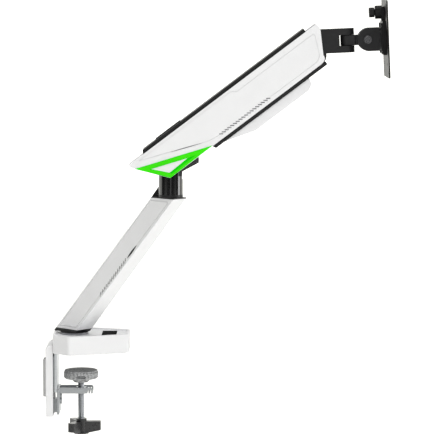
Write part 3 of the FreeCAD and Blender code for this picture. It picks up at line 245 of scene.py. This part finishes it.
# Faces within the first angle are one flat face, and edges over the second are sharp. Both are in degrees.
FLAT_ANGLE = 0.6
SHARP_ANGLE = 32.0


def close(bm):
    """The mesh of a bmesh, with its normals outwards."""
    bmesh.ops.remove_doubles(bm, verts=bm.verts, dist=WELD_DRAWN)
    bmesh.ops.recalc_face_normals(bm, faces=bm.faces)
    mesh = bpy.data.meshes.new("solid")
    bm.to_mesh(mesh)
    bm.free()
    return mesh


def prism(outline, low, high):
    """A closed solid: the outline drawn in the x-z plane, from low to high on y."""
    bm = bmesh.new()
    bottom = [bm.verts.new((point[0], low, point[1])) for point in outline]
    top = [bm.verts.new((point[0], high, point[1])) for point in outline]
    bm.faces.new(bottom)
    bm.faces.new(top)
    for i in range(len(outline)):
        j = (i + 1) % len(outline)
        bm.faces.new((bottom[i], bottom[j], top[j], top[i]))
    return close(bm)


def block(x0, x1, y0, y1, z0, z1):
    return prism([(x0, z0), (x1, z0), (x1, z1), (x0, z1)], y0, y1)


def lathe(profile, sides=64):
    """A solid of revolution about z from (radius, z) points that start and end on the axis."""
    bm = bmesh.new()
    rings = []
    for r, z in profile:
        if r == 0:
            rings.append([bm.verts.new((0, 0, z))])
        else:
            turns = [2 * math.pi * k / sides for k in range(sides)]
            rings.append([bm.verts.new((r * math.cos(turn), r * math.sin(turn), z)) for turn in turns])
    for low, high in zip(rings, rings[1:]):
        for k in range(sides):
            j = (k + 1) % sides
            if len(low) == 1:
                bm.faces.new((low[0], high[k], high[j]))
            elif len(high) == 1:
                bm.faces.new((low[k], low[j], high[0]))
            else:
                bm.faces.new((low[k], low[j], high[j], high[k]))
    return close(bm)


def moved(mesh, matrix):
    mesh.transform(matrix)
    if matrix.determinant() < 0:
        mesh.flip_normals()
    return mesh


def mirrored_copy(mesh):
    """The same solid on the other side of the frame's own x-z plane."""
    return moved(mesh.copy(), Matrix.Scale(-1, 4, (0, 1, 0)))


def cut(solid, tools):
    """The solid with other solids cut out of it."""
    helpers = []
    target = bpy.data.objects.new("target", solid)
    bpy.context.scene.collection.objects.link(target)
    for tool in tools:
        helper = bpy.data.objects.new("tool", tool)
        bpy.context.scene.collection.objects.link(helper)
        helpers.append(helper)
        modifier = target.modifiers.new("cut", "BOOLEAN")
        modifier.operation = "DIFFERENCE"
        modifier.solver = "EXACT"
        modifier.object = helper
    bpy.context.view_layer.update()
    depsgraph = bpy.context.evaluated_depsgraph_get()
    result = bpy.data.meshes.new_from_object(target.evaluated_get(depsgraph))
    for helper in [target] + helpers:
        old = helper.data
        bpy.data.objects.remove(helper)
        bpy.data.meshes.remove(old)
    return result


def joined(meshes):
    """Separate shells kept together in one mesh."""
    bm = bmesh.new()
    for mesh in meshes:
        bm.from_mesh(mesh)
        bpy.data.meshes.remove(mesh)
    return close(bm)


def softened(mesh, width, segments=3, angle=SHARP_ANGLE, weld=WELD, flat=FLAT_ANGLE):
    """The mesh with its flat faces whole again and its sharp edges rounded."""
    bm = bmesh.new()
    bm.from_mesh(mesh)
    bmesh.ops.remove_doubles(bm, verts=bm.verts, dist=weld)
    bmesh.ops.dissolve_limit(bm, angle_limit=math.radians(flat), verts=bm.verts, edges=bm.edges)
    limit = math.radians(angle)
    sharp = [edge for edge in bm.edges if edge.is_manifold and edge.calc_face_angle(0.0) > limit]
    if sharp:
        bmesh.ops.bevel(bm, geom=sharp, offset=width, offset_type="OFFSET", segments=segments, profile=0.5,
                        affect="EDGES", clamp_overlap=True, miter_outer="ARC")
    bmesh.ops.remove_doubles(bm, verts=bm.verts, dist=weld * 0.1)
    bmesh.ops.recalc_face_normals(bm, faces=bm.faces)
    bm.to_mesh(mesh)
    bm.free()
    return mesh


# ------------------------------------------------------------------ shared shapes

# Nodes that have a piece already.
DONE = set()

# Width of the rounded edges of each node's pieces, in millimetres.
EDGE_WIDTHS = {
    "base_cover": 1.4, "base_insert": 0.4, "back_cover": 1.2, "cable_hook": 0.7, "clamp_spacers": 0.5,
    "clamp_bracket": 0.4, "jaw_bracket": 0.6, "jaw_bolts": 0.4, "pad_cup": 0.7, "pad_rubber": 0.5,
    "clamp_knob": 1.2, "lower_arm_cover": 0.3, "lower_panel_near": 0.12, "lower_cable_cover": 0.6,
    "lower_arm_core": 0.5, "elbow_collar": 0.3, "elbow_bracket": 1.0, "side_cover_near": 0.5,
    "side_panel_near": 0.12, "green_trim_near": 0.18, "top_rail": 0.8, "bottom_rail": 0.8,
    "tension_cover": 0.7, "arm_cable_cover": 0.8, "head_bracket": 0.9, "pan_tongue": 0.8, "tilt_head": 1.4,
    "tilt_bolt": 0.2, "adapter_plate": 0.5, "vesa_plate": 0.4, "thumbscrew": 0.5,
}
OTHER_EDGE_WIDTH = 0.3

# Nodes whose looks differ from the finish of their slot.
OWN_FINISH = {"elbow_bracket": "gloss_cast", "clamp_bracket": "plate_zinc", "clamp_knob": "knob_plastic",
              "base_insert": "insert_plastic", "thumbscrew": "black_plastic"}


def piece(name, mesh, node, matrix=None, finish=None, smooth=38.0):
    """One visible piece that stands for a CAD node and rides on that node's body."""
    if matrix is not None:
        moved(mesh, matrix)
    mesh.name = name
    mesh.polygons.foreach_set("use_smooth", [True] * len(mesh.polygons))
    mesh.set_sharp_from_angle(angle=math.radians(smooth))
    obj = bpy.data.objects.new(name, mesh)
    bpy.context.scene.collection.objects.link(obj)
    slot = SLOT_OF[node]
    mesh.materials.clear()
    mesh.materials.append(FINISHES[finish or slot])
    weighted = obj.modifiers.new("weighted", "WEIGHTED_NORMAL")
    weighted.keep_sharp = True
    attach(obj, BODY_OF[node])
    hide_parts(node)
    DONE.add(node)
    return obj


def refined(node):
    """A piece made from the CAD node's own solid, with its edges rounded."""
    width = EDGE_WIDTHS.get(node, OTHER_EDGE_WIDTH) * MM
    mesh = softened(frame["nodes"][node].data.copy(), width, segments=2, weld=WELD_METRES)
    piece(node + "_body", mesh, node, finish=OWN_FINISH.get(node))


def own_solid(node, frame_matrix):
    """A CAD node's solid in millimetres, in the frame it was drawn in."""
    mesh = frame["nodes"][node].data.copy()
    mesh.materials.clear()
    mesh.transform(frame_matrix.inverted())
    bm = bmesh.new()
    bm.from_mesh(mesh)
    bmesh.ops.remove_doubles(bm, verts=bm.verts, dist=WELD)
    bmesh.ops.dissolve_limit(bm, angle_limit=math.radians(FLAT_ANGLE), verts=bm.verts, edges=bm.edges)
    bm.to_mesh(mesh)
    bm.free()
    return mesh


# An edge is a corner when it runs across by more than this, in millimetres, and folds by more than this, in
# radians.
SHORTEST_CORNER = 0.5
SMALLEST_FOLD = 0.1
CORNER_STEPS = 6


def eased(mesh, corners, reach=0.6):
    """The solid with chosen corners of its side view rounded: each corner is (x, z, radius)."""
    bm = bmesh.new()
    bm.from_mesh(mesh)
    for x, z, radius in corners:
        edges = []
        for edge in bm.edges:
            ends = [vert.co for vert in edge.verts]
            near = all(abs(co.x - x) < reach and abs(co.z - z) < reach for co in ends)
            crosswise = abs(ends[0].y - ends[1].y) > SHORTEST_CORNER
            if near and crosswise and edge.calc_face_angle(0.0) > SMALLEST_FOLD:
                edges.append(edge)
        if edges:
            bmesh.ops.bevel(bm, geom=edges, offset=radius, offset_type="OFFSET", segments=CORNER_STEPS,
                            profile=0.5, affect="EDGES", clamp_overlap=True)
    bmesh.ops.recalc_face_normals(bm, faces=bm.faces)
    bm.to_mesh(mesh)
    bm.free()
    return mesh


def capsule_plan(centre, direction, length, width, steps=4):
    """A stadium outline about a centre."""
    along = Vector(direction).normalized()
    side = Vector((-along.y, along.x))
    outline = []
    r = width / 2
    for sign in (1, -1):
        tip = Vector(centre) + along * sign * (length / 2 - r)
        for k in range(steps + 1):
            turn = math.pi * k / steps
            outline.append(tip + side * r * math.cos(turn) * sign + along * r * math.sin(turn) * sign)
    return outline


def lens_plan(start, end, width, steps=12, taper=0.7):
    """A slit that is widest in its middle and runs out to points, sharper ones with more taper."""
    start, end = Vector(start), Vector(end)
    side = Vector((start.y - end.y, end.x - start.x)).normalized() * width / 2
    rows = [start.lerp(end, k / steps) for k in range(steps + 1)]
    bulge = [math.sin(math.pi * k / steps) ** taper for k in range(steps + 1)]
    upper = [row + side * share for row, share in zip(rows, bulge)]
    lower = [row - side * share for row, share in zip(rows, bulge)][1:-1]
    return upper + lower[::-1]


# ------------------------------------------------------------------ spring arm

# In the arm's own frame: x runs along the arm from its main pivot, z upwards from the line of the pivots.
HATCH_COUNT = 18
HATCH_START = 73.0
HATCH_PITCH = 5.2
HATCH_HEIGHT = -31.0
HATCH_LENGTH = 6.6
HATCH_WIDTH = 1.5
SLIT_ENDS = ((44.0, -25.6), (-6.0, -6.4))
SLIT_WIDTH = 1.5
# The vents are cut right through the near cover's wall, between these places on y.
VENT_OUTER = -29.0
VENT_INNER = -23.1

# Corners to be rounded, as x, z and radius.
PANEL_CORNERS = [(275.0, 5.7, 5.0), (261.5, -26.0, 3.0), (253.5, -31.4, 4.0), (-51.0, 10.9, 1.6),
                 (123.5, 10.9, 1.5), (130.0, 5.7, 1.5), (72.0, -31.4, 2.0), (51.3, -28.4, 2.0)]
COVER_CORNERS = [(285.3, 14.7, 3.0), (286.2, 6.3, 4.0), (265.7, -29.1, 1.5), (265.7, -33.6, 3.0),
                 (259.0, -38.1, 4.0), (-66.5, 14.7, 1.2), (-66.0, 11.5, 2.5), (-63.0, 5.7, 4.0)]


def arm_vents():
    """The cutters for the row of level vent slots and the long slit in a side cover."""
    level = (math.cos(-ARM_PITCH), math.sin(-ARM_PITCH))
    plans = []
    for k in range(HATCH_COUNT):
        centre = (HATCH_START + k * HATCH_PITCH, HATCH_HEIGHT)
        plans.append(capsule_plan(centre, level, HATCH_LENGTH, HATCH_WIDTH))
    plans.append(lens_plan(*SLIT_ENDS, SLIT_WIDTH))
    return joined([prism(plan, VENT_OUTER, VENT_INNER) for plan in plans])


def side_covers():
    cover = eased(own_solid("side_cover_near", ARM), PANEL_CORNERS + COVER_CORNERS)
    cover = softened(cut(cover, [arm_vents()]), EDGE_WIDTHS["side_cover_near"])
    panel = eased(own_solid("side_panel_near", ARM), PANEL_CORNERS, reach=1.2)
    panel = softened(cut(panel, [arm_vents()]), EDGE_WIDTHS["side_panel_near"], segments=2)
    piece("side_shell_far", mirrored_copy(cover), "side_cover_far", ARM)
    piece("side_inlay_far", mirrored_copy(panel), "side_panel_far", ARM)
    piece("side_shell_near", cover, "side_cover_near", ARM)
    piece("side_inlay_near", panel, "side_panel_near", ARM)


# Corners of the green frame and of its opening, as x and z: left, bottom and right.
TRIM_OUTER = ((-61.8, 4.6), (-27.3, -38.0), (52.2, -37.2))
TRIM_INNER = ((-42.2, -10.3), (-23.2, -31.2), (11.0, -29.8))
TRIM_FACE = -28.2
TRIM_BACK = -26.2
# The chamfer round the outer edge: its depth, and its share of the way to the ridge.
TRIM_CHAMFER = 0.5
TRIM_CHAMFER_SHARE = 0.08
# How far each band falls behind the face at the opening.
TRIM_FALL = 1.8
# How far each band's flat face reaches from its outer edge: left, bottom and upper band.
TRIM_FLAT = (0.84, 0.5, 0.86)
TRIM_SHARP = 12.0
TRIM_WELD = 1e-4
TRIM_FLATNESS = 0.1
# Faces that look up by more than this and outwards by more than this, as parts of 1, get a darker green:
# painted shade on the slopes that turn away from the light.
SHADE_UPWARDS = 0.15
SHADE_OUTWARDS = 0.5


def crossing(first, second):
    """Where the line through one pair of points meets the line through another."""
    start, way = first[0], first[1] - first[0]
    offset, other_way = second[0] - start, second[1] - second[0]
    across_both = way.x * other_way.y - way.y * other_way.x
    return start + way * ((offset.x * other_way.y - offset.y * other_way.x) / across_both)


def trim_mesh():
    """A triangular frame whose bands fall towards the opening, the lower one most."""
    outer = [Vector(point) for point in TRIM_OUTER]
    inner = [Vector(point) for point in TRIM_INNER]
    bands = []
    for k, share in enumerate(TRIM_FLAT):
        j = (k + 1) % 3
        bands.append((outer[k].lerp(inner[k], share), outer[j].lerp(inner[j], share)))
    ridges = [crossing(bands[k - 1], bands[k]) for k in range(3)]
    chamfer = [corner.lerp(ridge, TRIM_CHAMFER_SHARE) for corner, ridge in zip(outer, ridges)]
    levels = [(outer, TRIM_BACK), (outer, TRIM_FACE + TRIM_CHAMFER), (chamfer, TRIM_FACE),
              (ridges, TRIM_FACE), (inner, TRIM_FACE + TRIM_FALL), (inner, TRIM_BACK)]
    bm = bmesh.new()
    rings = [[bm.verts.new((point.x, y, point.y)) for point in points] for points, y in levels]
    for low, high in zip(rings, rings[1:] + rings[:1]):
        for k in range(3):
            j = (k + 1) % 3
            bm.faces.new((low[k], low[j], high[j], high[k]))
    return close(bm)


def green_trims():
    """Both frames, with the slopes that look up in a darker green that paints their shade."""
    trim = softened(trim_mesh(), EDGE_WIDTHS["green_trim_near"], 2, TRIM_SHARP, TRIM_WELD, TRIM_FLATNESS)
    shaded_slopes = [face.index for face in trim.polygons
              if face.normal.z > SHADE_UPWARDS and face.normal.y < -SHADE_OUTWARDS]
    for side, mesh in (("far", mirrored_copy(trim)), ("near", trim)):
        obj = piece("trim_frame_" + side, mesh, "green_trim_" + side, ARM, smooth=8.0)
        # The upward slopes get the darker green as painted shade.
        obj.data.materials.append(FINISHES["green_painted_shade"])
        for index in shaded_slopes:
            obj.data.polygons[index].material_index = 1


side_covers()
green_trims()

# ------------------------------------------------------------------ lower arm

# Height, back edge and half width of the slanted arm at its foot and at its top.
LOWER_FOOT = (31.0, -30.8, 16.0)
LOWER_TOP = (255.5, 189.9, 13.2)
# The arm's length from back to front, and how far the inlay's front seam lies behind its front.
LOWER_LENGTH = 49.4
SEAM_INSET = 6.45
NOTCH_COUNT = 14
NOTCH_SPAN = (97.5, 154.5)
NOTCH_LENGTH = 9.0
NOTCH_WIDTH = 1.3
NOTCH_SLOPE = (0.2, 1.0)
GASH_SPAN = (158.0, 180.5)
GASH_WIDTH = 3.6
# Depths from the arm's side: where the cutters start and end, and where the black ribs behind the vents
# start, which stand in for the shade deep inside the vents.
VENT_START = -3.0
VENT_DEPTH = 2.9
SHADE_RIB_SUNK = 0.4
# Corners to be rounded, as x, z and radius.
INLAY_CORNER = (229.4, 251.5, 5.0)
PANEL_CORNER = (227.6, 250.6, 4.0)
CORNER_REACH = 1.0


def lower_seam(z):
    """The front seam of the inlay on the lower arm's near side, at a height."""
    share = (z - LOWER_FOOT[0]) / (LOWER_TOP[0] - LOWER_FOOT[0])
    back = LOWER_FOOT[1] + share * (LOWER_TOP[1] - LOWER_FOOT[1])
    half = LOWER_FOOT[2] + share * (LOWER_TOP[2] - LOWER_FOOT[2])
    return Vector((back + LOWER_LENGTH - SEAM_INSET, -half, z))


def lower_vents(start_depth, end_depth):
    """The slanted vents and the long gash along the inlay's front seam, between two depths."""
    solids = []
    low, high = NOTCH_SPAN
    for k in range(NOTCH_COUNT):
        place = lower_seam(low + (high - low) * k / (NOTCH_COUNT - 1))
        plan = capsule_plan((place.x, place.z), NOTCH_SLOPE, NOTCH_LENGTH, NOTCH_WIDTH)
        solids.append(prism(plan, place.y + start_depth, place.y + end_depth))
    start, end = lower_seam(GASH_SPAN[0]), lower_seam(GASH_SPAN[1])
    plan = lens_plan((start.x, start.z), (end.x, end.z), GASH_WIDTH)
    solids.append(prism(plan, end.y + start_depth, end.y + end_depth))
    return joined(solids)


def lower_covers():
    shell = eased(own_solid("lower_arm_cover", LOWER), [INLAY_CORNER], CORNER_REACH)
    panel = eased(own_solid("lower_panel_near", LOWER), [PANEL_CORNER], CORNER_REACH)
    cutter = lower_vents(VENT_START, VENT_DEPTH)
    shell = softened(shell, EDGE_WIDTHS["lower_arm_cover"])
    shell = cut(shell, [cutter.copy(), mirrored_copy(cutter)])
    panel = softened(panel, EDGE_WIDTHS["lower_panel_near"], segments=2)
    panel = cut(panel, [cutter])
    plate = softened(own_solid("lower_cable_cover", LOWER), EDGE_WIDTHS["lower_cable_cover"])
    piece("lower_shell", shell, "lower_arm_cover", LOWER)
    piece("lower_clip_cover", plate, "lower_cable_cover", LOWER)
    piece("lower_inlay_far", mirrored_copy(panel), "lower_panel_far", LOWER)
    piece("lower_inlay_near", panel, "lower_panel_near", LOWER)


def lower_core():
    """The black core, with ribs in its own black that fill the vents from behind as painted shade of the
    vents' depth.
    """
    # Ribs raised to just under the shell's face: the core's real black, brought up to paint the shade
    # inside the vents.
    shade_ribs = lower_vents(SHADE_RIB_SUNK, VENT_DEPTH)
    refined("lower_arm_core")
    piece("vent_shade_ribs_far", mirrored_copy(shade_ribs), "lower_arm_core", LOWER)
    piece("vent_shade_ribs_near", shade_ribs, "lower_arm_core", LOWER)


# The wedge behind the collar, at its foot and at its tip: x, and the share of its width that stays.
WEDGE_FOOT = (-29.5, 1.0)
WEDGE_TIP = (-19.2, 0.6)
WEDGE_MARGIN = 0.02


def elbow_ring():
    """The collar with its rear wedge drawn in towards the tip."""
    ring = softened(own_solid("elbow_collar", LOWER_TOP_FRAME), EDGE_WIDTHS["elbow_collar"], segments=2)
    for vert in ring.vertices:
        share = (vert.co.x - WEDGE_FOOT[0]) / (WEDGE_TIP[0] - WEDGE_FOOT[0])
        if share < 1.0 + WEDGE_MARGIN:
            vert.co.y *= WEDGE_FOOT[1] + min(1.0, share) * (WEDGE_TIP[1] - WEDGE_FOOT[1])
    piece("elbow_ring", ring, "elbow_collar", LOWER_TOP_FRAME)


lower_covers()
lower_core()
elbow_ring()

# ------------------------------------------------------------------ clamp

# The clamp screw's thread: its sizes, and the numbers of sides and of rings that draw it.
THREAD_PITCH = 2.0
THREAD_DEPTH = 0.35
THREAD_RUNOUT = 4.0
THREAD_SIDES = 32
THREAD_RINGS_PER_TURN = 6

# The oval recess in the rim of the pad: its centre as x and z, its size, and where its cutter runs on y.
PAD_RECESS_PLACE = (11.4, -39.4)
PAD_RECESS_LENGTH = 15.0
PAD_RECESS_HEIGHT = 5.0
PAD_RECESS_FRONT = -40.0
PAD_RECESS_FLOOR = -21.5
# The slots between the jaw's tabs: where each starts and ends on x, and the height of their tops.
JAW_SLOTS = ((20.6, 22.4), (24.6, 26.6))
JAW_SLOT_TOP = -61.0
# Reach of the cutters past the jaw, sideways and below.
JAW_CUT_SIDE = 30.0
JAW_CUT_LOW = -80.0


def threaded_rod(radius, low, high, x):
    """A screw about an upright axis, with a thread that runs out towards both ends."""
    bm = bmesh.new()
    count = int((high - low) / THREAD_PITCH * THREAD_RINGS_PER_TURN)
    rings = []
    for i in range(count + 1):
        z = low + (high - low) * i / count
        fade = min(1.0, (z - low) / THREAD_RUNOUT, (high - z) / THREAD_RUNOUT)
        ring = []
        for k in range(THREAD_SIDES):
            phase = (z / THREAD_PITCH - k / THREAD_SIDES) % 1.0
            r = radius - THREAD_DEPTH * fade * (1 - abs(2 * phase - 1))
            turn = 2 * math.pi * k / THREAD_SIDES
            ring.append(bm.verts.new((x + r * math.cos(turn), r * math.sin(turn), z)))
        rings.append(ring)
    for low_ring, high_ring in zip(rings, rings[1:]):
        for k in range(THREAD_SIDES):
            j = (k + 1) % THREAD_SIDES
            bm.faces.new((low_ring[k], low_ring[j], high_ring[j], high_ring[k]))
    bm.faces.new(rings[0])
    bm.faces.new(rings[-1])
    return close(bm)


def spindle_piece():
    low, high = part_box("clamp_spindle")
    radius = (high.x - low.x) / 2 / MM
    screw = threaded_rod(radius, low.z / MM, high.z / MM, (low.x + high.x) / 2 / MM)
    piece("spindle_thread", screw, "clamp_spindle", WORLD, "thread_steel", smooth=60.0)


def pad_pieces():
    """The saucer with an oval recess in the front of its rim."""
    plan = capsule_plan(PAD_RECESS_PLACE, (1, 0), PAD_RECESS_LENGTH, PAD_RECESS_HEIGHT, steps=10)
    recess = prism(plan, PAD_RECESS_FRONT, PAD_RECESS_FLOOR)
    cup = softened(cut(own_solid("pad_cup", WORLD), [recess]), EDGE_WIDTHS["pad_cup"])
    piece("pad_saucer", cup, "pad_cup", WORLD, "grip_grey")


def jaw_pieces():
    """The jaw with its two front tabs parted by narrow slots."""
    slots = [block(left, right, -JAW_CUT_SIDE, JAW_CUT_SIDE, JAW_CUT_LOW, JAW_SLOT_TOP)
             for left, right in JAW_SLOTS]
    jaw = cut(own_solid("jaw_bracket", WORLD), [joined(slots)])
    piece("jaw_channel", softened(jaw, EDGE_WIDTHS["jaw_bracket"]), "jaw_bracket", WORLD)


spindle_piece()
pad_pieces()
jaw_pieces()

# ------------------------------------------------------------------ head

# The cutter that deepens the clevis slot: its ends along x, half its width and half its height.
SLOT_REACH = (-9.7, -8.0)
SLOT_HALF_WIDTH = 14.0
SLOT_HALF_HEIGHT = 8.2
SCREW_PLACE = 32.7
# The dished head of the tilt screw, as radius and depth.
SCREW_RIM = [(0, 1.8), (2.8, 1.8), (2.9, 0.4), (3.4, 0.0), (4.4, 0.2), (5.1, 0.8), (5.5, 1.8), (5.5, 2.4),
             (0, 2.4)]


def head_pieces():
    """The clevis with its slot run back behind the tongue, and the dished head of the tilt screw."""
    gap = block(*SLOT_REACH, -SLOT_HALF_WIDTH, SLOT_HALF_WIDTH, -SLOT_HALF_HEIGHT, SLOT_HALF_HEIGHT)
    bracket = softened(cut(own_solid("head_bracket", HEAD), [gap]), EDGE_WIDTHS["head_bracket"])
    piece("head_casting", bracket, "head_bracket", HEAD)
    screw = own_solid("tilt_bolt", HEAD)
    face = min(vert.co.y for vert in screw.vertices)
    facing = Matrix.Rotation(-math.pi / 2, 4, "X")
    rim = moved(lathe(SCREW_RIM), Matrix.Translation((SCREW_PLACE, face, 0)) @ facing)
    piece("tilt_screw_head", rim, "tilt_bolt", HEAD, "bolt_steel", smooth=50.0)
    shank = softened(screw, EDGE_WIDTHS["tilt_bolt"], segments=2)
    piece("tilt_screw_shank", shank, "tilt_bolt", HEAD, "bolt_steel")


head_pieces()

# ------------------------------------------------------------------ all other nodes

for node in sorted(frame["nodes"]):
    if node not in DONE:
        refined(node)

# ------------------------------------------------------------------ stage

FLOOR_Z = -0.45
FLOOR_SPLIT = 0.7
STUDIO_R = 6.4
STUDIO_TOP = 7.0
WALL_STEPS = 32
PAPER_COLOUR = (0.9, 0.9, 0.88, 1.0)
PAPER_ROUGH = 0.9
PAPER_GLOW_COLOUR = (1.0, 1.0, 0.955, 1.0)
SKY_COLOUR = (1.0, 1.0, 0.99, 1.0)
SKY_STRENGTH = 0.37


def pale_sheet(name, rows, glow):
    """A sheet of white studio paper through rows of points, with a little light of its own."""
    bm = bmesh.new()
    grid = [[bm.verts.new(point) for point in row] for row in rows]
    for low, high in zip(grid, grid[1:]):
        for k in range(len(low) - 1):
            bm.faces.new((low[k], low[k + 1], high[k + 1], high[k]))
    mesh = bpy.data.meshes.new(name)
    bm.to_mesh(mesh)
    bm.free()
    material = bpy.data.materials.new(name)
    material.use_nodes = True
    shader = material.node_tree.nodes["Principled BSDF"]
    shader.inputs["Base Color"].default_value = PAPER_COLOUR
    shader.inputs["Roughness"].default_value = PAPER_ROUGH
    shader.inputs["Emission Color"].default_value = PAPER_GLOW_COLOUR
    shader.inputs["Emission Strength"].default_value = glow
    mesh.materials.append(material)
    obj = bpy.data.objects.new(name, mesh)
    bpy.context.scene.collection.objects.link(obj)
    return obj


def across(y):
    """A line over the whole floor at one y."""
    return [(-STUDIO_R, y, FLOOR_Z), (STUDIO_R, y, FLOOR_Z)]


def around(z, start):
    """Half a turn of the studio's wall at a height, from a starting angle."""
    turns = [start + math.pi * k / WALL_STEPS for k in range(WALL_STEPS + 1)]
    return [(STUDIO_R * math.cos(turn), STUDIO_R * math.sin(turn), z) for turn in turns]


pale_sheet("floor_near", [across(-STUDIO_R), across(FLOOR_SPLIT)], glow=0.42)
pale_sheet("floor_rear", [across(FLOOR_SPLIT), across(STUDIO_R)], glow=0.72)
wall_rear = pale_sheet("wall_rear", [around(FLOOR_Z, 0.0), around(STUDIO_TOP, 0.0)], glow=0.75)
wall_near = pale_sheet("wall_near", [around(FLOOR_Z, math.pi), around(STUDIO_TOP, math.pi)], glow=0.85)
for wall in (wall_rear, wall_near):
    wall.visible_diffuse = False
    wall.visible_shadow = False
wall_near.visible_glossy = False


def soft_light(name, place, target, size, watts, height=None):
    """A round softbox, or an upright one when it is given a height."""
    data = bpy.data.lights.new(name, "AREA")
    data.shape = "RECTANGLE" if height else "DISK"
    data.size = size
    data.size_y = height or size
    data.energy = watts
    obj = bpy.data.objects.new(name, data)
    obj.location = place
    obj.rotation_euler = (Vector(target) - Vector(place)).to_track_quat("-Z", "Y").to_euler()
    bpy.context.scene.collection.objects.link(obj)
    return obj


middle = (cad_low + cad_high) / 2
soft_light("key", (3.2, -3.4, 2.4), middle, size=1.6, watts=56.0)
soft_light("top", (0.2, -0.4, 3.4), middle, size=2.4, watts=36.0)
soft_light("front", (0.2, -5.4, 2.2), middle, size=2.6, watts=54.0)
right_strip = soft_light("right_strip", (3.2, -0.45, 0.45), (0.2, 0.0, 0.45), size=1.0, watts=30.0,
                         height=1.6)
middle_strip = soft_light("middle_strip", (0.2, -4.7, 0.2), (0.2, 0.0, 0.2), size=0.8, watts=1.9,
                          height=1.2)
soft_light("right_fill", (3.0, -0.5, 0.6), middle, size=0.9, watts=3.0)
# The strips only show as highlights.
for strip in (right_strip, middle_strip):
    strip.visible_diffuse = False

world = bpy.data.worlds.new("studio")
bpy.context.scene.world = world
world.use_nodes = True
sky = world.node_tree.nodes["Background"]
sky.inputs["Color"].default_value = SKY_COLOUR
sky.inputs["Strength"].default_value = SKY_STRENGTH
world.cycles_visibility.glossy = False

CAMERA_PLACE = (0.2254, -3.9194, 0.5895)
CAMERA_TILT = 84.5
CAMERA_LENS = 207.37
CAMERA_SENSOR = 36.0
CAMERA_SIGHT = 60.0

camera_data = bpy.data.cameras.new("camera")
camera_data.sensor_width = CAMERA_SENSOR
camera_data.lens = CAMERA_LENS
camera_data.clip_end = CAMERA_SIGHT
camera = bpy.data.objects.new("camera", camera_data)
camera.location = CAMERA_PLACE
camera.rotation_euler = (math.radians(CAMERA_TILT), 0.0, 0.0)
bpy.context.scene.collection.objects.link(camera)
bpy.context.scene.camera = camera
bpy.context.scene.view_settings.view_transform = "Standard"
